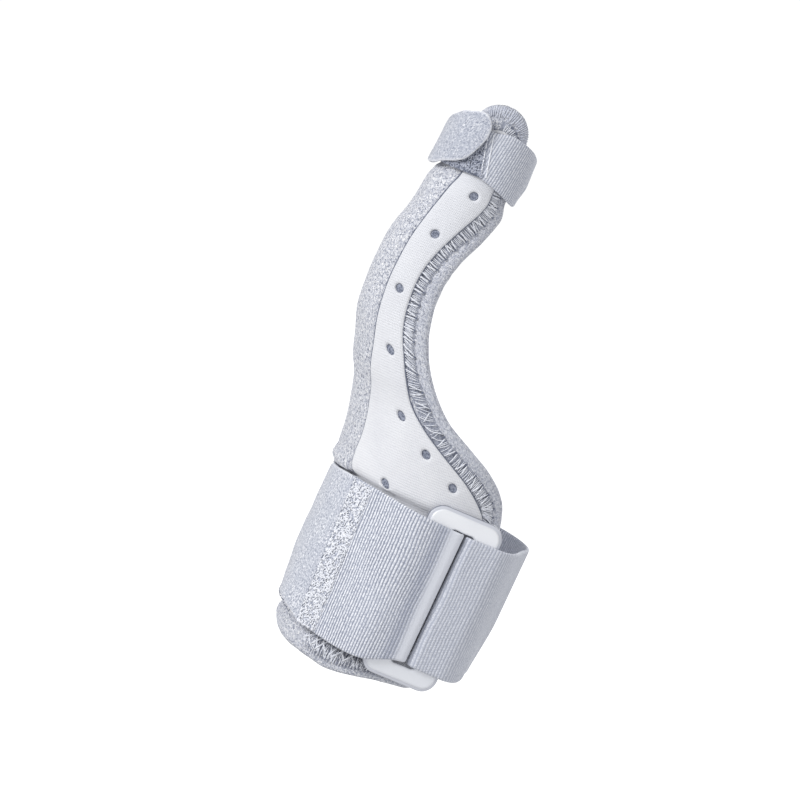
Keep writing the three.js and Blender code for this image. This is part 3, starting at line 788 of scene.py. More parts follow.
# Padded panel
PANEL_COLUMNS = 96
SWELL_ROWS = (24.4, 28.0, 0.3)
PATH_STEP = 0.4
panel_rows = strip_heights(-HEM_DEPTH, END_HEIGHT, HEM_CORNER, END_ROUND, 1.25, 12)
# More rows where the panel swells out over the wrist strap's upper edge
panel_rows = np.unique(np.concatenate([panel_rows, np.arange(*SWELL_ROWS)]))
panel_edges = section_at(panel_rows)
panel_left, panel_right = rounded_span(
    panel_edges[PANEL_LEFT], panel_edges[PANEL_RIGHT], panel_rows,
    -HEM_DEPTH, END_HEIGHT, HEM_CORNER, END_ROUND)


def flat_radius(height):
    """Millimetres per degree round the panel at a height, to lay it out flat."""
    taper = section_at(height)[2]
    across = (lerp(WRIST[0], THUMB[0], taper) + lerp(WRIST[1], THUMB[1], taper)) / 4
    return np.radians(across + PANEL_THICK + LOOSE_BULGE)


def resample(line, step):
    """The same line in even steps of about that length."""
    steps = np.linalg.norm(np.diff(line, axis=0), axis=1)
    at = np.concatenate([[0], np.cumsum(steps)])
    count = max(2, int(round(at[-1] / step)) + 1)
    places = np.linspace(0, at[-1], count)
    return on_line(places, at, line)


def laid_out(angle, height):
    """Places on the limb laid out flat, in millimetres."""
    return np.stack([angle * flat_radius(height), height], axis=-1)


right_side = laid_out(panel_right, panel_rows)
left_side = laid_out(panel_left, panel_rows)
# Once round the panel, counter-clockwise as seen from outside: hem, right side, end, left side
hem_line = laid_out(np.linspace(panel_left[0], panel_right[0], 60), np.full(60, panel_rows[0]))
end_line = laid_out(np.linspace(panel_right[-1], panel_left[-1], 12), np.full(12, panel_rows[-1]))
seam_path = resample(np.concatenate([hem_line[:-1], right_side[:-1], end_line]), PATH_STEP)
left_path = resample(left_side[::-1], PATH_STEP)
rim_path = np.concatenate([seam_path, left_path[1:]])
seam_length = PATH_STEP * (len(seam_path) - 1)
rim_along = PATH_STEP * np.arange(len(rim_path))
is_seam = np.arange(len(rim_path)) < len(seam_path)
rim_way = np.gradient(rim_path, axis=0)
rim_way /= np.linalg.norm(rim_way, axis=1)[:, None]
rim_inward = np.stack([-rim_way[:, 1], rim_way[:, 0]], axis=-1)


def rim_place(flat):
    """For points laid out flat: how far along the rim, how far inside it, and 1 by the seam."""
    shape = flat.shape[:-1]
    flat = flat.reshape(-1, 2)
    along, inwards, seam = (np.zeros(len(flat)) for _ in range(3))
    for block in np.array_split(np.arange(len(flat)), 20):
        gap = np.linalg.norm(flat[block][:, None] - rim_path[None], axis=-1)
        nearest = gap.argmin(1)
        inwards[block] = gap.min(1)
        along[block] = rim_along[nearest]
        seam[block] = is_seam[nearest]
    return along.reshape(shape), inwards.reshape(shape), seam.reshape(shape)


shares = eased(PANEL_COLUMNS)
panel_angle = lerp(panel_left[:, None], panel_right[:, None], shares)
panel_height = np.repeat(panel_rows[:, None], len(shares), axis=1)
panel_flat = laid_out(panel_angle, panel_height)
rim_a, rim_d, rim_s = rim_place(panel_flat)
rim_d[0] = rim_d[-1] = 0
rim_d[:, 0] = rim_d[:, -1] = 0
roll = RIM_ROLL * lerp(0.7, 1.0, rim_s)
crown = np.sin(np.pi * np.clip(rim_d / roll, 0, 1)) ** 0.8
groove = hump(rim_d, 1.0, roll, 0.8)
sunk = rim_s * smooth(rim_d, roll, roll + 1) * fall(rim_d, SEAM_INNER - 1, SEAM_INNER + 0.5)
off_hem = 0.15 + 0.85 * smooth(rim_a, HEM_SEAM_END - 8, HEM_SEAM_END)
pucker = sunk * np.cos(2 * np.pi * rim_a / STITCH) * -0.16
unevenness = wave_noise(panel_flat[..., 0], panel_flat[..., 1], 14, 3) * smooth(rim_d, 2, 8)
above_strap = smooth(panel_height, STRAP_TOP - 0.5, STRAP_TOP + 3)
below_strap = fall(panel_height, THUMB_STRAP_BOTTOM - 5, THUMB_STRAP_BOTTOM)
at_hem = fall(panel_height, -HEM_DEPTH + 7, -HEM_DEPTH + 11)
free = 0.25 + 0.75 * np.maximum(above_strap * below_strap, at_hem)
left_padding = hump(panel_height, *LEFT_SWELL) * fall(panel_angle, -75, -50)
# Its left side swells out over the upper edge of the wrist tab
tab_upper = read_table(WRIST_TAB_EDGES, (panel_angle - SEAM_ANGLE) / (TAB_END_ANGLE - SEAM_ANGLE))[1]
wall = tab_upper * STRAP_TOP + 0.15
full = lerp(4.2, LOOSE_BULGE, smooth(panel_height, 26.5, 33))
swell = smooth(panel_height - wall, 0, 0.6) * fall(panel_angle, -62, -55) * np.maximum(
    0, full - LOOSE_BULGE * smooth(panel_height, STRAP_TOP, STRAP_TOP + WRIST_BULGE_RUN))
pressed = thumb_strap_edges(panel_angle)[0]
pressed_away = LOOSE_BULGE * smooth((panel_height - pressed) / THUMB_BULGE_RUN, -1, 0)
on_left = fall(panel_angle, -72, -46)
below_loop = fall(panel_height, pressed - 1.9, pressed - 0.4)
upper_padding = on_left * (0.4 * pressed_away * below_loop - hump(panel_height, *UPPER_WAIST))
hem_padding = hump(panel_angle, *HEM_SWELL) * at_hem
rim_relief = off_hem * (0.30 * crown - 0.35 * groove - 0.28 * sunk + pucker)
relief = swell + left_padding + upper_padding + hem_padding + free * (rim_relief + 0.12 * unevenness)
profile = dome(rim_d, 2.0)
middle = PANEL_THICK / 2
outer_offset = middle + profile * (middle + relief)
inner_offset = middle - profile * middle
cloth_map = at_height(panel_flat, np.zeros_like(panel_height))
rim_map = np.stack([rim_a, rim_d, rim_s], axis=-1)
# The lining has no hem colours, so it is placed past the hem
lining_map = np.stack([rim_a + HEM_SEAM_END, rim_d, np.zeros_like(rim_s)], axis=-1)
panel = pillow(
    "padded_panel",
    panel_point(panel_angle, panel_height, outer_offset),
    panel_point(panel_angle, panel_height, inner_offset),
    {"cloth": (cloth_map, cloth_map), "rim": (rim_map, lining_map)})
finish_piece(panel, knit, "knit", "splint_panel")


def rim_point(along, inwards, offset):
    """A point of the panel's outer side from its place along and inside the rim."""
    along, inwards = np.broadcast_arrays(along, inwards)
    place = on_line(along, rim_along, rim_path) + inwards[..., None] * on_line(along, rim_along, rim_inward)
    x, height = np.moveaxis(place, -1, 0)
    return panel_point(x / flat_radius(height), height, offset)


def outward(along, inwards):
    """The direction out of the panel at a place on its rim."""
    way = rim_point(along, inwards, 5.0) - rim_point(along, inwards, 4.0)
    return way / np.linalg.norm(way, axis=-1)[..., None]


# Fans of fine threads that stand on the outer row between two pins, crossed by bolder ones
lines, ways, sizes = [], [], []


def seam_thread(start, end, inner, outer, size, lift=0.0):
    """Adds a thread that arches over the seam from its outer row to its inner one."""
    at = np.linspace(0, 1, 6)
    along = lerp(start, end, at)
    inwards = lerp(inner, outer, at)
    height = PANEL_THICK - 0.16 + lift + 0.30 * np.sin(np.pi * at)
    lines.append(rim_point(along, inwards, height))
    ways.append(outward(along, inwards))
    sizes.append(size)


pins = np.arange(1, int(seam_length / STITCH)) * STITCH
pins = pins[pins > HEM_SEAM_END]
for pin in pins:
    dense = pin < DENSE_UNTIL
    at_end = np.interp(pin, rim_along, rim_path[:, 1]) > END_SEAM_FROM
    lean = rng.normal(0.3, 0.45)
    for place in np.linspace(-0.47, 0.47, 5 if at_end else 8) * STITCH:
        shift = rng.normal(0, 0.16, 2)
        centre = pin + STITCH / 2
        seam_thread(centre + place * 0.74 + shift[0], centre + place + lean + shift[1],
                    RIM_ROLL + 0.25 + abs(rng.normal(0, 0.4)), SEAM_INNER - 0.25 + rng.normal(0, 0.25),
                    rng.uniform(0.10, 0.16), abs(rng.normal(0, 0.06)))
    if at_end:
        continue
    for side in (1, -1):
        wobble = rng.normal(0, 0.2, 2)
        seam_thread(pin + side * 0.32, pin + side * rng.uniform(0.7, 1.5) + lean + wobble[1],
                    RIM_ROLL + 0.3, SEAM_INNER - 0.3 + wobble[0], 0.22 if dense else 0.28, 0.18)

# On the hem: bold crosses in the middle, and fine upright threads beside and under them
for centre in np.arange(*HEM_CROSSES, HEM_CROSS_STEP):
    reach = rng.uniform(1.6, 2.4)
    for side in (1, -1):
        wobble = rng.normal(0, 0.35, 2)
        seam_thread(centre - side * reach + wobble[0], centre + side * reach * 0.8 + wobble[1],
                    4.4 + rng.normal(0, 0.5), 9.4 + rng.normal(0, 0.4),
                    rng.uniform(0.27, 0.35), 0.34 + 0.12 * side)
for _ in range(HEM_THREADS):
    place = rng.uniform(HEM_GATHERS_FROM - 6, HEM_SEAM_END)
    low = rng.uniform(2.2, 5.5)
    seam_thread(place, place + rng.normal(0, 0.35), low, low + rng.uniform(1.5, 4.2),
                rng.uniform(0.12, 0.19), 0.06)
seam_threads = threads("rim_seam_threads", lines, sizes, ways)
finish_piece(seam_threads, rim_thread, "knit")

# Painted shade of a needle hole, as a small dark disc, at each pin of the outer row, and half way between
# them on the inner row
pin_along = np.concatenate([pins, pins + STITCH / 2])
pin_inwards = np.repeat([RIM_ROLL + 0.55, SEAM_INNER + 0.1], len(pins))
needle_hole_shade = discs("needle_hole_shade", rim_point(pin_along, pin_inwards, PANEL_THICK + 0.24),
                     outward(pin_along, pin_inwards), np.repeat(NEEDLE_HOLE_RADII, len(pins)))
finish_piece(needle_hole_shade, dark_thread_and_shade, "knit")

# Threads that wrap the round end's rim
wrapped = rim_along[rim_path[:, 1] > END_SEAM_FROM]
lines, ways = [], []
for along in np.arange(wrapped[0], lerp(wrapped[0], wrapped[-1], END_WRAP_SHARE), END_WRAP_STEP):
    place = along + rng.normal(0, 0.13)
    reach = lerp(0.1, 4.6 + rng.normal(0, 0.5), np.linspace(0, 1, 7))
    lift = PANEL_THICK / 2 + dome(reach, 2.0) * (PANEL_THICK / 2 + 0.16)
    slant = place + np.linspace(0, 0.5, 7)
    lines.append(rim_point(slant, reach, lift))
    ways.append(outward(slant, reach))
end_threads = threads("end_rim_threads", lines, 0.24, ways, 6)
finish_piece(end_threads, knit_thread, "knit")


# Straps and tabs
def elastic_ribs(phase):
    """The height of the ribs as a share of their relief."""
    return 0.5 + 0.5 * np.cos(2 * np.pi * phase)


def wrap_point(angle, offset):
    """A point of the wrist strap's path seen from above, at an offset from the wrist."""
    turn = np.radians(angle)
    half_width, half_depth = WRIST[0] / 2 + offset, WRIST[1] / 2 + offset
    return np.stack([half_width * np.sin(turn), -half_depth * np.cos(turn)], axis=-1)


def wrap_way(angle, offset):
    """The direction of that path, as long as its change over one radian."""
    turn = np.radians(angle)
    half_width, half_depth = WRIST[0] / 2 + offset, WRIST[1] / 2 + offset
    return np.stack([half_width * np.cos(turn), half_depth * np.sin(turn)], axis=-1)


ring_along = unit(wrap_way(RING_ANGLE, INNER_LAYER))
ring_out = np.array([ring_along[1], -ring_along[0]])
ring_turn = math.atan2(ring_along[1], ring_along[0])
ring_standoff = RING_THICK / 2 + LAYER_GAP + STRAP_THICK / 2
ring_centre = wrap_point(RING_ANGLE, INNER_LAYER) + ring_out * ring_standoff
ring_rise = (SLOT_UPPER + SLOT_LOWER) / 2 * STRAP_TOP
slot_height = (SLOT_UPPER - SLOT_LOWER) * STRAP_TOP + 2 * SLOT_CLEARANCE


def ring_point(along, out):
    """A place seen from above, from its distance along the ring's face and out of it."""
    return ring_centre + ring_along * along + ring_out * out


def arc(centre, radius, start, end, count):
    turn = np.linspace(start, end, count)
    return centre + radius * np.stack([np.cos(turn), np.sin(turn)], axis=-1)


def bend(start, start_way, end, end_way, count=40):
    """A smooth curve that leaves the start and reaches the end in the given directions."""
    t = np.linspace(0, 1, count)[:, None]
    a, b = start + start_way, end - end_way
    return (1 - t)**3 * start + 3 * (1 - t)**2 * t * a + 3 * (1 - t) * t**2 * b + t**3 * end


def strap_path():
    """The strap's path, and its length at the end of each stretch. Both folds lie left in the slot."""
    speed = np.linalg.norm(wrap_way(RING_ANGLE, INNER_LAYER))
    bar = RING_WIDTH / 2 - RING_THICK / 2
    right_fold = SLOT_WIDTH / 2 + RING_THICK / 2 - FOLD_TUCK
    left_fold = FOLD_REACH - FOLD_TUCK - SLOT_WIDTH / 2

    def angle_at(along):
        return RING_ANGLE + math.degrees(along / speed)

    def fold(along, end):
        return arc(ring_point(along, 0), ring_standoff, ring_turn + np.pi / 2, ring_turn + end, 40)

    def off_ring(side, angle, layer):
        """From the ring's right (1) or left (-1) bar to the wrist."""
        edge, landing = ring_point(side * bar, ring_standoff), wrap_point(angle, layer)
        reach = side * np.linalg.norm(edge - landing) / 3
        return bend(edge, ring_along * reach, landing, unit(wrap_way(angle, layer)) * reach)

    parts = [
        wrap_point(np.linspace(angle_at(bar), angle_at(right_fold + STRAP_THICK), 30), INNER_LAYER),
        fold(right_fold, 1.5 * np.pi),
        off_ring(1, RIGHT_LANDING, INNER_LAYER),
        wrap_point(np.linspace(RIGHT_LANDING, 360 + angle_at(left_fold), 400), INNER_LAYER),
        fold(left_fold, -np.pi / 2),
        off_ring(-1, LEFT_LANDING, OUTER_LAYER),
        wrap_point(np.linspace(LEFT_LANDING, SEAM_ANGLE, 60), OUTER_LAYER),
    ]
    whole = np.concatenate(parts)
    lengths = np.append(0, np.cumsum(np.linalg.norm(np.diff(whole, axis=0), axis=1)))
    return whole, lengths[np.cumsum([len(part) for part in parts]) - 1]


def draw_in(place, height):
    """How far the strap's lower half is drawn in at the wrist's sides."""
    across = place[..., 0] / (WRIST[0] / 2 + INNER_LAYER)
    forward = -place[..., 1] / (WRIST[1] / 2 + INNER_LAYER)
    angle = np.degrees(np.arctan2(across, forward))
    side = smooth(np.abs(angle), DRAW_IN_FROM, 90)
    return DRAW_IN * side * fall(height, -STRAP_TOP, 0)


path, path_marks = strap_path()
keep = np.concatenate([[True], np.linalg.norm(np.diff(path, axis=0), axis=1) > 0.02])
path = resample(path[keep], RIB_PITCH / 5)
strap_length = np.linalg.norm(np.diff(path, axis=0), axis=1).sum()
strap_s = np.linspace(0, strap_length, len(path))
way = np.gradient(path, axis=0)
way /= np.linalg.norm(way, axis=1)[:, None]
out = np.stack([way[:, 1], -way[:, 0]], axis=-1)
for _ in range(3):
    out[1:-1] = (out[:-2] + 2 * out[1:-1] + out[2:]) / 4
out /= np.linalg.norm(out, axis=1)[:, None]
fold_start, fold_end = path_marks[3], path_marks[4]
edge_rows = eased(26, 4)


def leaned(along, height):
    """A place along the strap, moved by the lean of the free end."""
    return along - END_LEAN * (STRAP_TOP - height) * smooth(along, fold_end + 4, strap_length - 6)


lower, upper = read_table(WRIST_STRAP_EDGES, strap_s / strap_length) * STRAP_TOP
strap_z = lerp(lower, upper, edge_rows[:, None])
s_grid = np.broadcast_to(strap_s, strap_z.shape)
border = np.minimum.reduce([strap_z - lower, upper - strap_z, s_grid, strap_length - s_grid])
drift = wave_noise(s_grid, strap_z, 30, 11) * 0.35
phase = (s_grid + drift) / RIB_PITCH
# Where the fold is smooth and painted light
calm_end = fold_end + 0.4 + 0.9 * edge_rows[:, None]
calm = smooth(s_grid, fold_end - 4.5, fold_end - 1) * fall(s_grid, calm_end, calm_end + 3.2)
half = STRAP_THICK / 2 * dome(border, 0.75)
behind = smooth(fold_start - s_grid, 30, 45)
ribs = RIB_RELIEF * (elastic_ribs(phase) - 0.75) * smooth(border, 0.2, 1.2)
ribs *= (1 - calm) * (1 - 0.6 * behind)
leaned_s = leaned(s_grid, strap_z)
strap_xy, strap_out = on_line(leaned_s, strap_s, path), on_line(leaned_s, strap_s, out)
inward = draw_in(strap_xy, strap_z)


def strap_side(offset):
    return at_height(strap_xy + strap_out * offset[..., None], strap_z)


BAND = (strap_length - BAND_WIDTH, strap_length - 0.1)
band_share = smooth(s_grid, BAND[0] - 0.4, BAND[0] + 0.4) * smooth(border, 0.1, 0.5)
ribs *= 1 - band_share
strap_cloth = np.stack([phase, strap_z, calm], axis=-1)
fading = 0.6 * fall(s_grid, fold_start - 30, fold_start)
fading += 0.32 * fall(s_grid, fold_end + 4, strap_length - 14) * (s_grid > fold_start)
# Where the painted shade of the crease falls, a little past the fold
crease_shade = hump(s_grid, 1.0, calm_end + 4.2, 2.6)
strap_zone = np.stack([band_share, fading, crease_shade], axis=-1)
wrist_strap = pillow(
    "wrist_elastic", strap_side(half + ribs - inward), strap_side(-half - inward - ribs),
    {"cloth": (strap_cloth, strap_cloth), "zone": (strap_zone, strap_zone)})
finish_piece(wrist_strap, wide_elastic, "elastic", "wrist_strap")


def outer_layer_way(along):
    """The direction away from the wrist on the strap's doubled outer layer."""
    return at_height(on_line(along, strap_s, -out), np.zeros_like(along))


def outer_layer_point(along, height, offset):
    """A point on the visible side of the strap's doubled outer layer."""
    place = leaned(along, height)
    flat_place = on_line(place, strap_s, path)
    raised = (offset - draw_in(flat_place, height))[:, None]
    return at_height(flat_place, height) + outer_layer_way(place) * raised


# Short bright stitches in all directions, between two broken lines of thread
lines, ways, sizes = [], [], []
band_low, band_high = read_table(WRIST_STRAP_EDGES, BAND[0] / strap_length) * STRAP_TOP


def band_thread(along, heights, size, lift=0.0):
    """Adds a thread that arches over the strap, kept inside the band."""
    along = np.clip(along, BAND[0] - 0.4, strap_length - 0.05)
    heights = np.clip(heights, band_low + 0.4, band_high - 0.4)
    arch = 0.20 * np.sin(np.pi * np.linspace(0, 1, len(along)))
    lines.append(outer_layer_point(along, heights, STRAP_THICK / 2 + 0.04 + lift + arch))
    ways.append(outer_layer_way(along))
    sizes.append(size)


BAND_TURNS = ((0.25, 0.30), (-0.55, 0.35), (1.5, 0.25))
for index in range(BAND_THREADS):
    mean, spread = BAND_TURNS[index % 3]
    turn = rng.normal(mean, spread)
    reach = np.linspace(-1, 1, 4) * rng.uniform(0.35, 0.75)
    column = rng.uniform(BAND[0] + 0.2, BAND[1] - 0.2)
    height = rng.uniform(band_low + 0.5, band_high - 0.5)
    band_thread(column + reach * np.sin(turn), height + reach * np.cos(turn), rng.uniform(0.20, 0.30),
                rng.uniform(0, 0.14))
for column in (BAND[0] - 0.3, BAND[1] - 0.5):
    height = band_low + 0.6
    while height < band_high - 2:
        reach = rng.uniform(0.9, 2.2)
        at = np.linspace(0, 1, 4)
        band_thread(column + rng.normal(0, 0.10) + 0 * at, height + at * reach, 0.22, 0.10)
        height += reach * rng.uniform(1.0, 1.35)
band_threads = threads("strap_band_threads", lines, sizes, ways, 4)
finish_piece(band_threads, pale_thread, "elastic")


# Wrist tab
TAB_MM_PER_DEGREE = math.radians(34.5)
along = eased(90, 4)[::-1]
angle = lerp(SEAM_ANGLE - 0.05, TAB_END_ANGLE, along)
lower, upper = read_table(WRIST_TAB_EDGES, along) * STRAP_TOP
tab_z = lerp(lower, upper, eased(44, 4)[:, None])
flat_angle = np.broadcast_to(angle, tab_z.shape)
# The tab starts where the leaning strap ends
end_angles = np.linspace(SEAM_ANGLE, SEAM_ANGLE + 12, 40)
end_steps = np.linalg.norm(np.diff(wrap_point(end_angles, OUTER_LAYER), axis=0), axis=1)
end_lean = np.interp(
    END_LEAN * (STRAP_TOP - tab_z), np.append(0, np.cumsum(end_steps)), end_angles - SEAM_ANGLE)
tab_angle = flat_angle + end_lean * fall(SEAM_ANGLE - flat_angle, 0, 35)
tab_s = flat_angle * TAB_MM_PER_DEGREE
border = np.minimum.reduce([
    tab_z - lower, upper - tab_z,
    (SEAM_ANGLE - flat_angle) * TAB_MM_PER_DEGREE, (flat_angle - TAB_END_ANGLE) * TAB_MM_PER_DEGREE])
inward = draw_in(wrap_point(tab_angle, OUTER_LAYER), tab_z)
half = STRAP_THICK / 2 * dome(np.where(flat_angle > SEAM_ANGLE - 3, border * 3, border), 0.9)
soft = wave_noise(tab_s, tab_z, 12, 21) * 0.10 * smooth(border, 0, 3)


def tab_side(offset):
    return at_height(wrap_point(tab_angle, OUTER_LAYER + offset - inward), tab_z)


# The rim, where the tab's painted highlight runs
tab_rim_highlight = fall(border, 0.25, 0.75)
tab_cloth = np.stack([tab_s, tab_z, tab_rim_highlight * (flat_angle < SEAM_ANGLE - 3)], axis=-1)
wrist_tab = pillow("wrist_tab", tab_side(half + soft), tab_side(-half),
                   {"cloth": (tab_cloth, tab_cloth)})
finish_piece(wrist_tab, wrist_brushed, "brushed_tab", "wrist_strap_tab")

# Dark stitches along the lower edge of the tab, which also stand for the shadow line under that edge:
# partly painted shade
lines, ways = [], []
for place in np.arange(TAB_END_ANGLE + 14, SEAM_ANGLE - 0.5, TAB_STITCH_ANGLE):
    angles = place + np.linspace(0, rng.uniform(1.1, 1.9), 4)
    edge = read_table(WRIST_TAB_EDGES, (angles - SEAM_ANGLE) / (TAB_END_ANGLE - SEAM_ANGLE))[0] * STRAP_TOP
    heights = edge + 0.3 + rng.normal(0, 0.12)
    raised = STRAP_THICK / 2 - 0.06 - draw_in(wrap_point(angles, OUTER_LAYER), heights)
    lines.append(at_height(wrap_point(angles, OUTER_LAYER + raised), heights))
    ways.append(away(angles))
tab_stitches = threads("tab_edge_stitching", lines, 0.20, ways)
finish_piece(tab_stitches, dark_thread_and_shade, "brushed_tab")

# Thumb strap
THUMB_RADIUS = (THUMB[0] + THUMB[1]) / 4 + STRAP_SEAT
THUMB_MM_PER_DEGREE = math.radians(THUMB_RADIUS + 2)
rib_count = round(2 * np.pi * (THUMB_RADIUS + 0.7) / THUMB_PITCH)
columns = rib_count * 5
angle = np.arange(columns) / columns * 360
lower, upper = thumb_strap_edges(angle)
lower = lower + hump(angle, *LOOP_TUG)
loop_z = lerp(lower, upper, eased(22, 4)[:, None])
loop_angle = np.broadcast_to(angle, loop_z.shape)
signed = (loop_angle + 180) % 360 - 180
border = np.minimum(loop_z - lower, upper - loop_z)
phase = (loop_angle - THUMB_RIB_LEAN * (loop_z - THUMB_STRAP_MIDDLE)) / 360 * rib_count
seam_at = -2.0 - (loop_z - THUMB_STRAP_MIDDLE) * THUMB_SEAM_LEAN
rough = smooth(signed, -75, -60) * fall(signed - seam_at, -2, 2)
half = STRAP_THICK / 2 * dome(border, 0.75)
ribs = THUMB_RIB_RELIEF * (elastic_ribs(phase) - 0.6) * (1 - rough) * smooth(border, 0.2, 1.0)
lumps = 0.22 * rough * wave_noise(signed * 0.28, loop_z, 1.9, 31) * smooth(border, 0.2, 1.0)
tuck = LOOP_TUCK * smooth(signed, 50, 95) * fall(signed, 125, 160)
tuck = tuck * fall(loop_z, lower, lower + 8)


def thumb_side(angle, height, offset):
    """Points round the thumb, where the loop is straight up and down."""
    from_front = np.abs((angle + 180) % 360 - 180)
    up = (height - THUMB_STRAP_BOTTOM) / THUMB_STRAP_WIDTH
    drawn_in = THUMB_DRAW_IN * smooth(from_front, THUMB_DRAW_IN_FROM, 90) * up
    flat = limb(angle, np.full_like(height, THUMB_STRAP_TOP), offset - drawn_in)
    flat[..., 2] = height
    return flat


loop_cloth = np.stack([phase, loop_z, np.zeros_like(phase)], axis=-1)
loop_zone = np.stack([rough, np.full_like(rough, 0.35), np.zeros_like(rough)], axis=-1)
seat = STRAP_SEAT + STRAP_THICK / 2 - tuck
thumb_strap = pillow(
    "thumb_elastic_loop", thumb_side(loop_angle, loop_z, seat + half + ribs + lumps),
    thumb_side(loop_angle, loop_z, seat - half),
    {"cloth": (loop_cloth, loop_cloth), "zone": (loop_zone, loop_zone)}, loop=True)
finish_piece(thumb_strap, thumb_elastic, "elastic", "thumb_strap")

# Curled pile on the rough part, and the stitched line where the ribs begin
lines, ways = [], []
surface = STRAP_SEAT + STRAP_THICK
for _ in range(PILE_LOOPS):
    place = rng.uniform(-62, 4)
    low, high = thumb_strap_edges(place)
    height = rng.uniform(low + 0.7, high - 0.7)
    if place > -3.0 - (height - THUMB_STRAP_MIDDLE) * THUMB_SEAM_LEAN:
        continue
    turns = np.linspace(0, rng.uniform(3.4, 5.6), 8) + rng.uniform(0, 2 * np.pi)
    radius = rng.uniform(0.40, 0.72)
    angles = place + np.cos(turns) * radius / THUMB_MM_PER_DEGREE
    heights = height + np.sin(turns) * radius
    lines.append(thumb_side(angles, heights, surface + 0.16 + 0.10 * np.sin(turns)))
    ways.append(away(angles))
pile = threads("thumb_strap_pile", lines, 0.20, ways)
finish_piece(pile, pile_thread, "elastic")
low, high = thumb_strap_edges(0.0)
heights = np.linspace(low + 0.8, high - 0.9, 60)
angles = -1.0 - (heights - THUMB_STRAP_MIDDLE) * THUMB_SEAM_LEAN
seam_angles = [angles - 3.0, angles + 3.6]
seam_line = threads(
    "thumb_strap_seam", [thumb_side(angles, heights, surface + 0.10) for angles in seam_angles],
    0.24, [away(angles) for angles in seam_angles])
finish_piece(seam_line, pale_thread, "elastic")

# Thumb tab
along = eased(70, 4)
angle = lerp(*THUMB_TAB_ANGLES, along)
lower, upper = read_table(THUMB_TAB_EDGES, along) * THUMB_TAB_WIDTH
# At the left both its edges hang lower than the solid's
rise = THUMB_STRAP_MIDDLE + THUMB_TAB_RISE * along
lower += rise - 1.1 * fall(along, 0.45, 0.75)
upper += rise - 1.3 * fall(along, 0.28, 0.5)
pad_z = lerp(lower, upper, eased(36, 4)[:, None])
pad_angle = np.broadcast_to(angle, pad_z.shape)
pad_s = pad_angle * THUMB_MM_PER_DEGREE
border = np.minimum.reduce([
    pad_z - lower, upper - pad_z,
    pad_s - THUMB_TAB_ANGLES[0] * THUMB_MM_PER_DEGREE, THUMB_TAB_ANGLES[1] * THUMB_MM_PER_DEGREE - pad_s])
half = STRAP_THICK / 2 * dome(border, 1.0)
soft = wave_noise(pad_s, pad_z, 7, 41) * 0.10 * smooth(border, 0, 2.5)
# Its round end stands a little proud of the loop
seat = surface + LAYER_GAP + STRAP_THICK / 2 + THUMB_TAB_LIFT * smooth(pad_angle, -62, -12)
# Its third part marks the rim, where the painted highlight runs
pad_cloth = np.stack([pad_s, pad_z, fall(border, 0.25, 0.8)], axis=-1)
thumb_tab = pillow("thumb_tab", thumb_side(pad_angle, pad_z, seat + half + soft),
                   thumb_side(pad_angle, pad_z, seat - half), {"cloth": (pad_cloth, pad_cloth)})
finish_piece(thumb_tab, thumb_brushed, "brushed_tab", "thumb_strap_tab")


# Cover with its holes
cover_bottom = -HEM_DEPTH + COVER_HEM_INSET
cover_top = END_HEIGHT - COVER_END_INSET
cover_rows = strip_heights(cover_bottom, cover_top, COVER_HEM_ROUND, COVER_END_ROUND, 1.2, 6)
edges = section_at(cover_rows)
cover_left, cover_right = rounded_span(
    edges[COVER_LEFT], edges[COVER_RIGHT], cover_rows,
    cover_bottom, cover_top, COVER_HEM_ROUND, COVER_END_ROUND)
outline = np.concatenate([
    laid_out(np.linspace(cover_left[0], cover_right[0], 40), np.full(40, cover_rows[0]))[:-1],
    laid_out(cover_right, cover_rows)[:-1],
    laid_out(np.linspace(cover_right[-1], cover_left[-1], 6), np.full(6, cover_rows[-1]))[:-1],
    laid_out(cover_left, cover_rows)[::-1][:-1],
])
outline = resample(np.concatenate([outline, outline[:1]]), 0.8)[:-1]
outline_way = np.roll(outline, -1, axis=0) - np.roll(outline, 1, axis=0)
outline_way /= np.linalg.norm(outline_way, axis=1)[:, None]
outline_in = np.stack([-outline_way[:, 1], outline_way[:, 0]], axis=-1)
RIM_STEPS = (0.0, 0.09, 0.30, 0.65, 1.3)
HOLE_STEPS = (0.0, 0.10, 0.35, 0.8, 1.5)
HOLE_SIDES = 28
GRID_STEP = 1.4
THIN_RIM = 0.15
hole_centres = np.array([
    laid_out(np.array(angle), np.array(height_at(at))) for at, angle in HOLES])


def cover_mesh():
    """Points laid out flat, with rings that follow the outline and each hole, and triangles."""
    rings = [(step, outline + outline_in * step) for step in RIM_STEPS]
    rings += [(step, centre + (HOLE_RADIUS + step) * circle(HOLE_SIDES))
              for centre in hole_centres for step in HOLE_STEPS]
    points, borders = [], []
    for step, ring in rings:
        if step == 0.0:
            around = [len(points) + i for i in range(len(ring))]
            borders.extend(zip(around, around[1:] + around[:1]))
        points.extend(ring.tolist())
    low, high = outline.min(0), outline.max(0)
    xs, ys = (np.arange(low[i], high[i], GRID_STEP) for i in range(2))
    grid = np.stack(np.meshgrid(xs, ys), axis=-1)
    grid[::2, :, 0] += GRID_STEP / 2
    grid = grid.reshape(-1, 2)
    gap = np.linalg.norm(grid[:, None] - outline[None], axis=-1).min(1)
    inside = np.array([is_inside(p) for p in grid])
    hole_gap = np.linalg.norm(grid[:, None] - hole_centres[None], axis=-1).min(1) - HOLE_RADIUS
    points.extend(grid[inside & (gap > 2.0) & (hole_gap > 2.2)].tolist())
    made = delaunay_2d_cdt([Vector(p) for p in points], borders, [], 0, 1e-5)
    places = np.array([[v.x, v.y] for v in made[0]])
    kept = []
    for face in made[2]:
        middle = places[list(face)].mean(0)
        if np.linalg.norm(middle - hole_centres, axis=1).min() < HOLE_RADIUS * 0.97:
            continue
        if is_inside(middle):
            kept.append(list(face))
    return places, kept


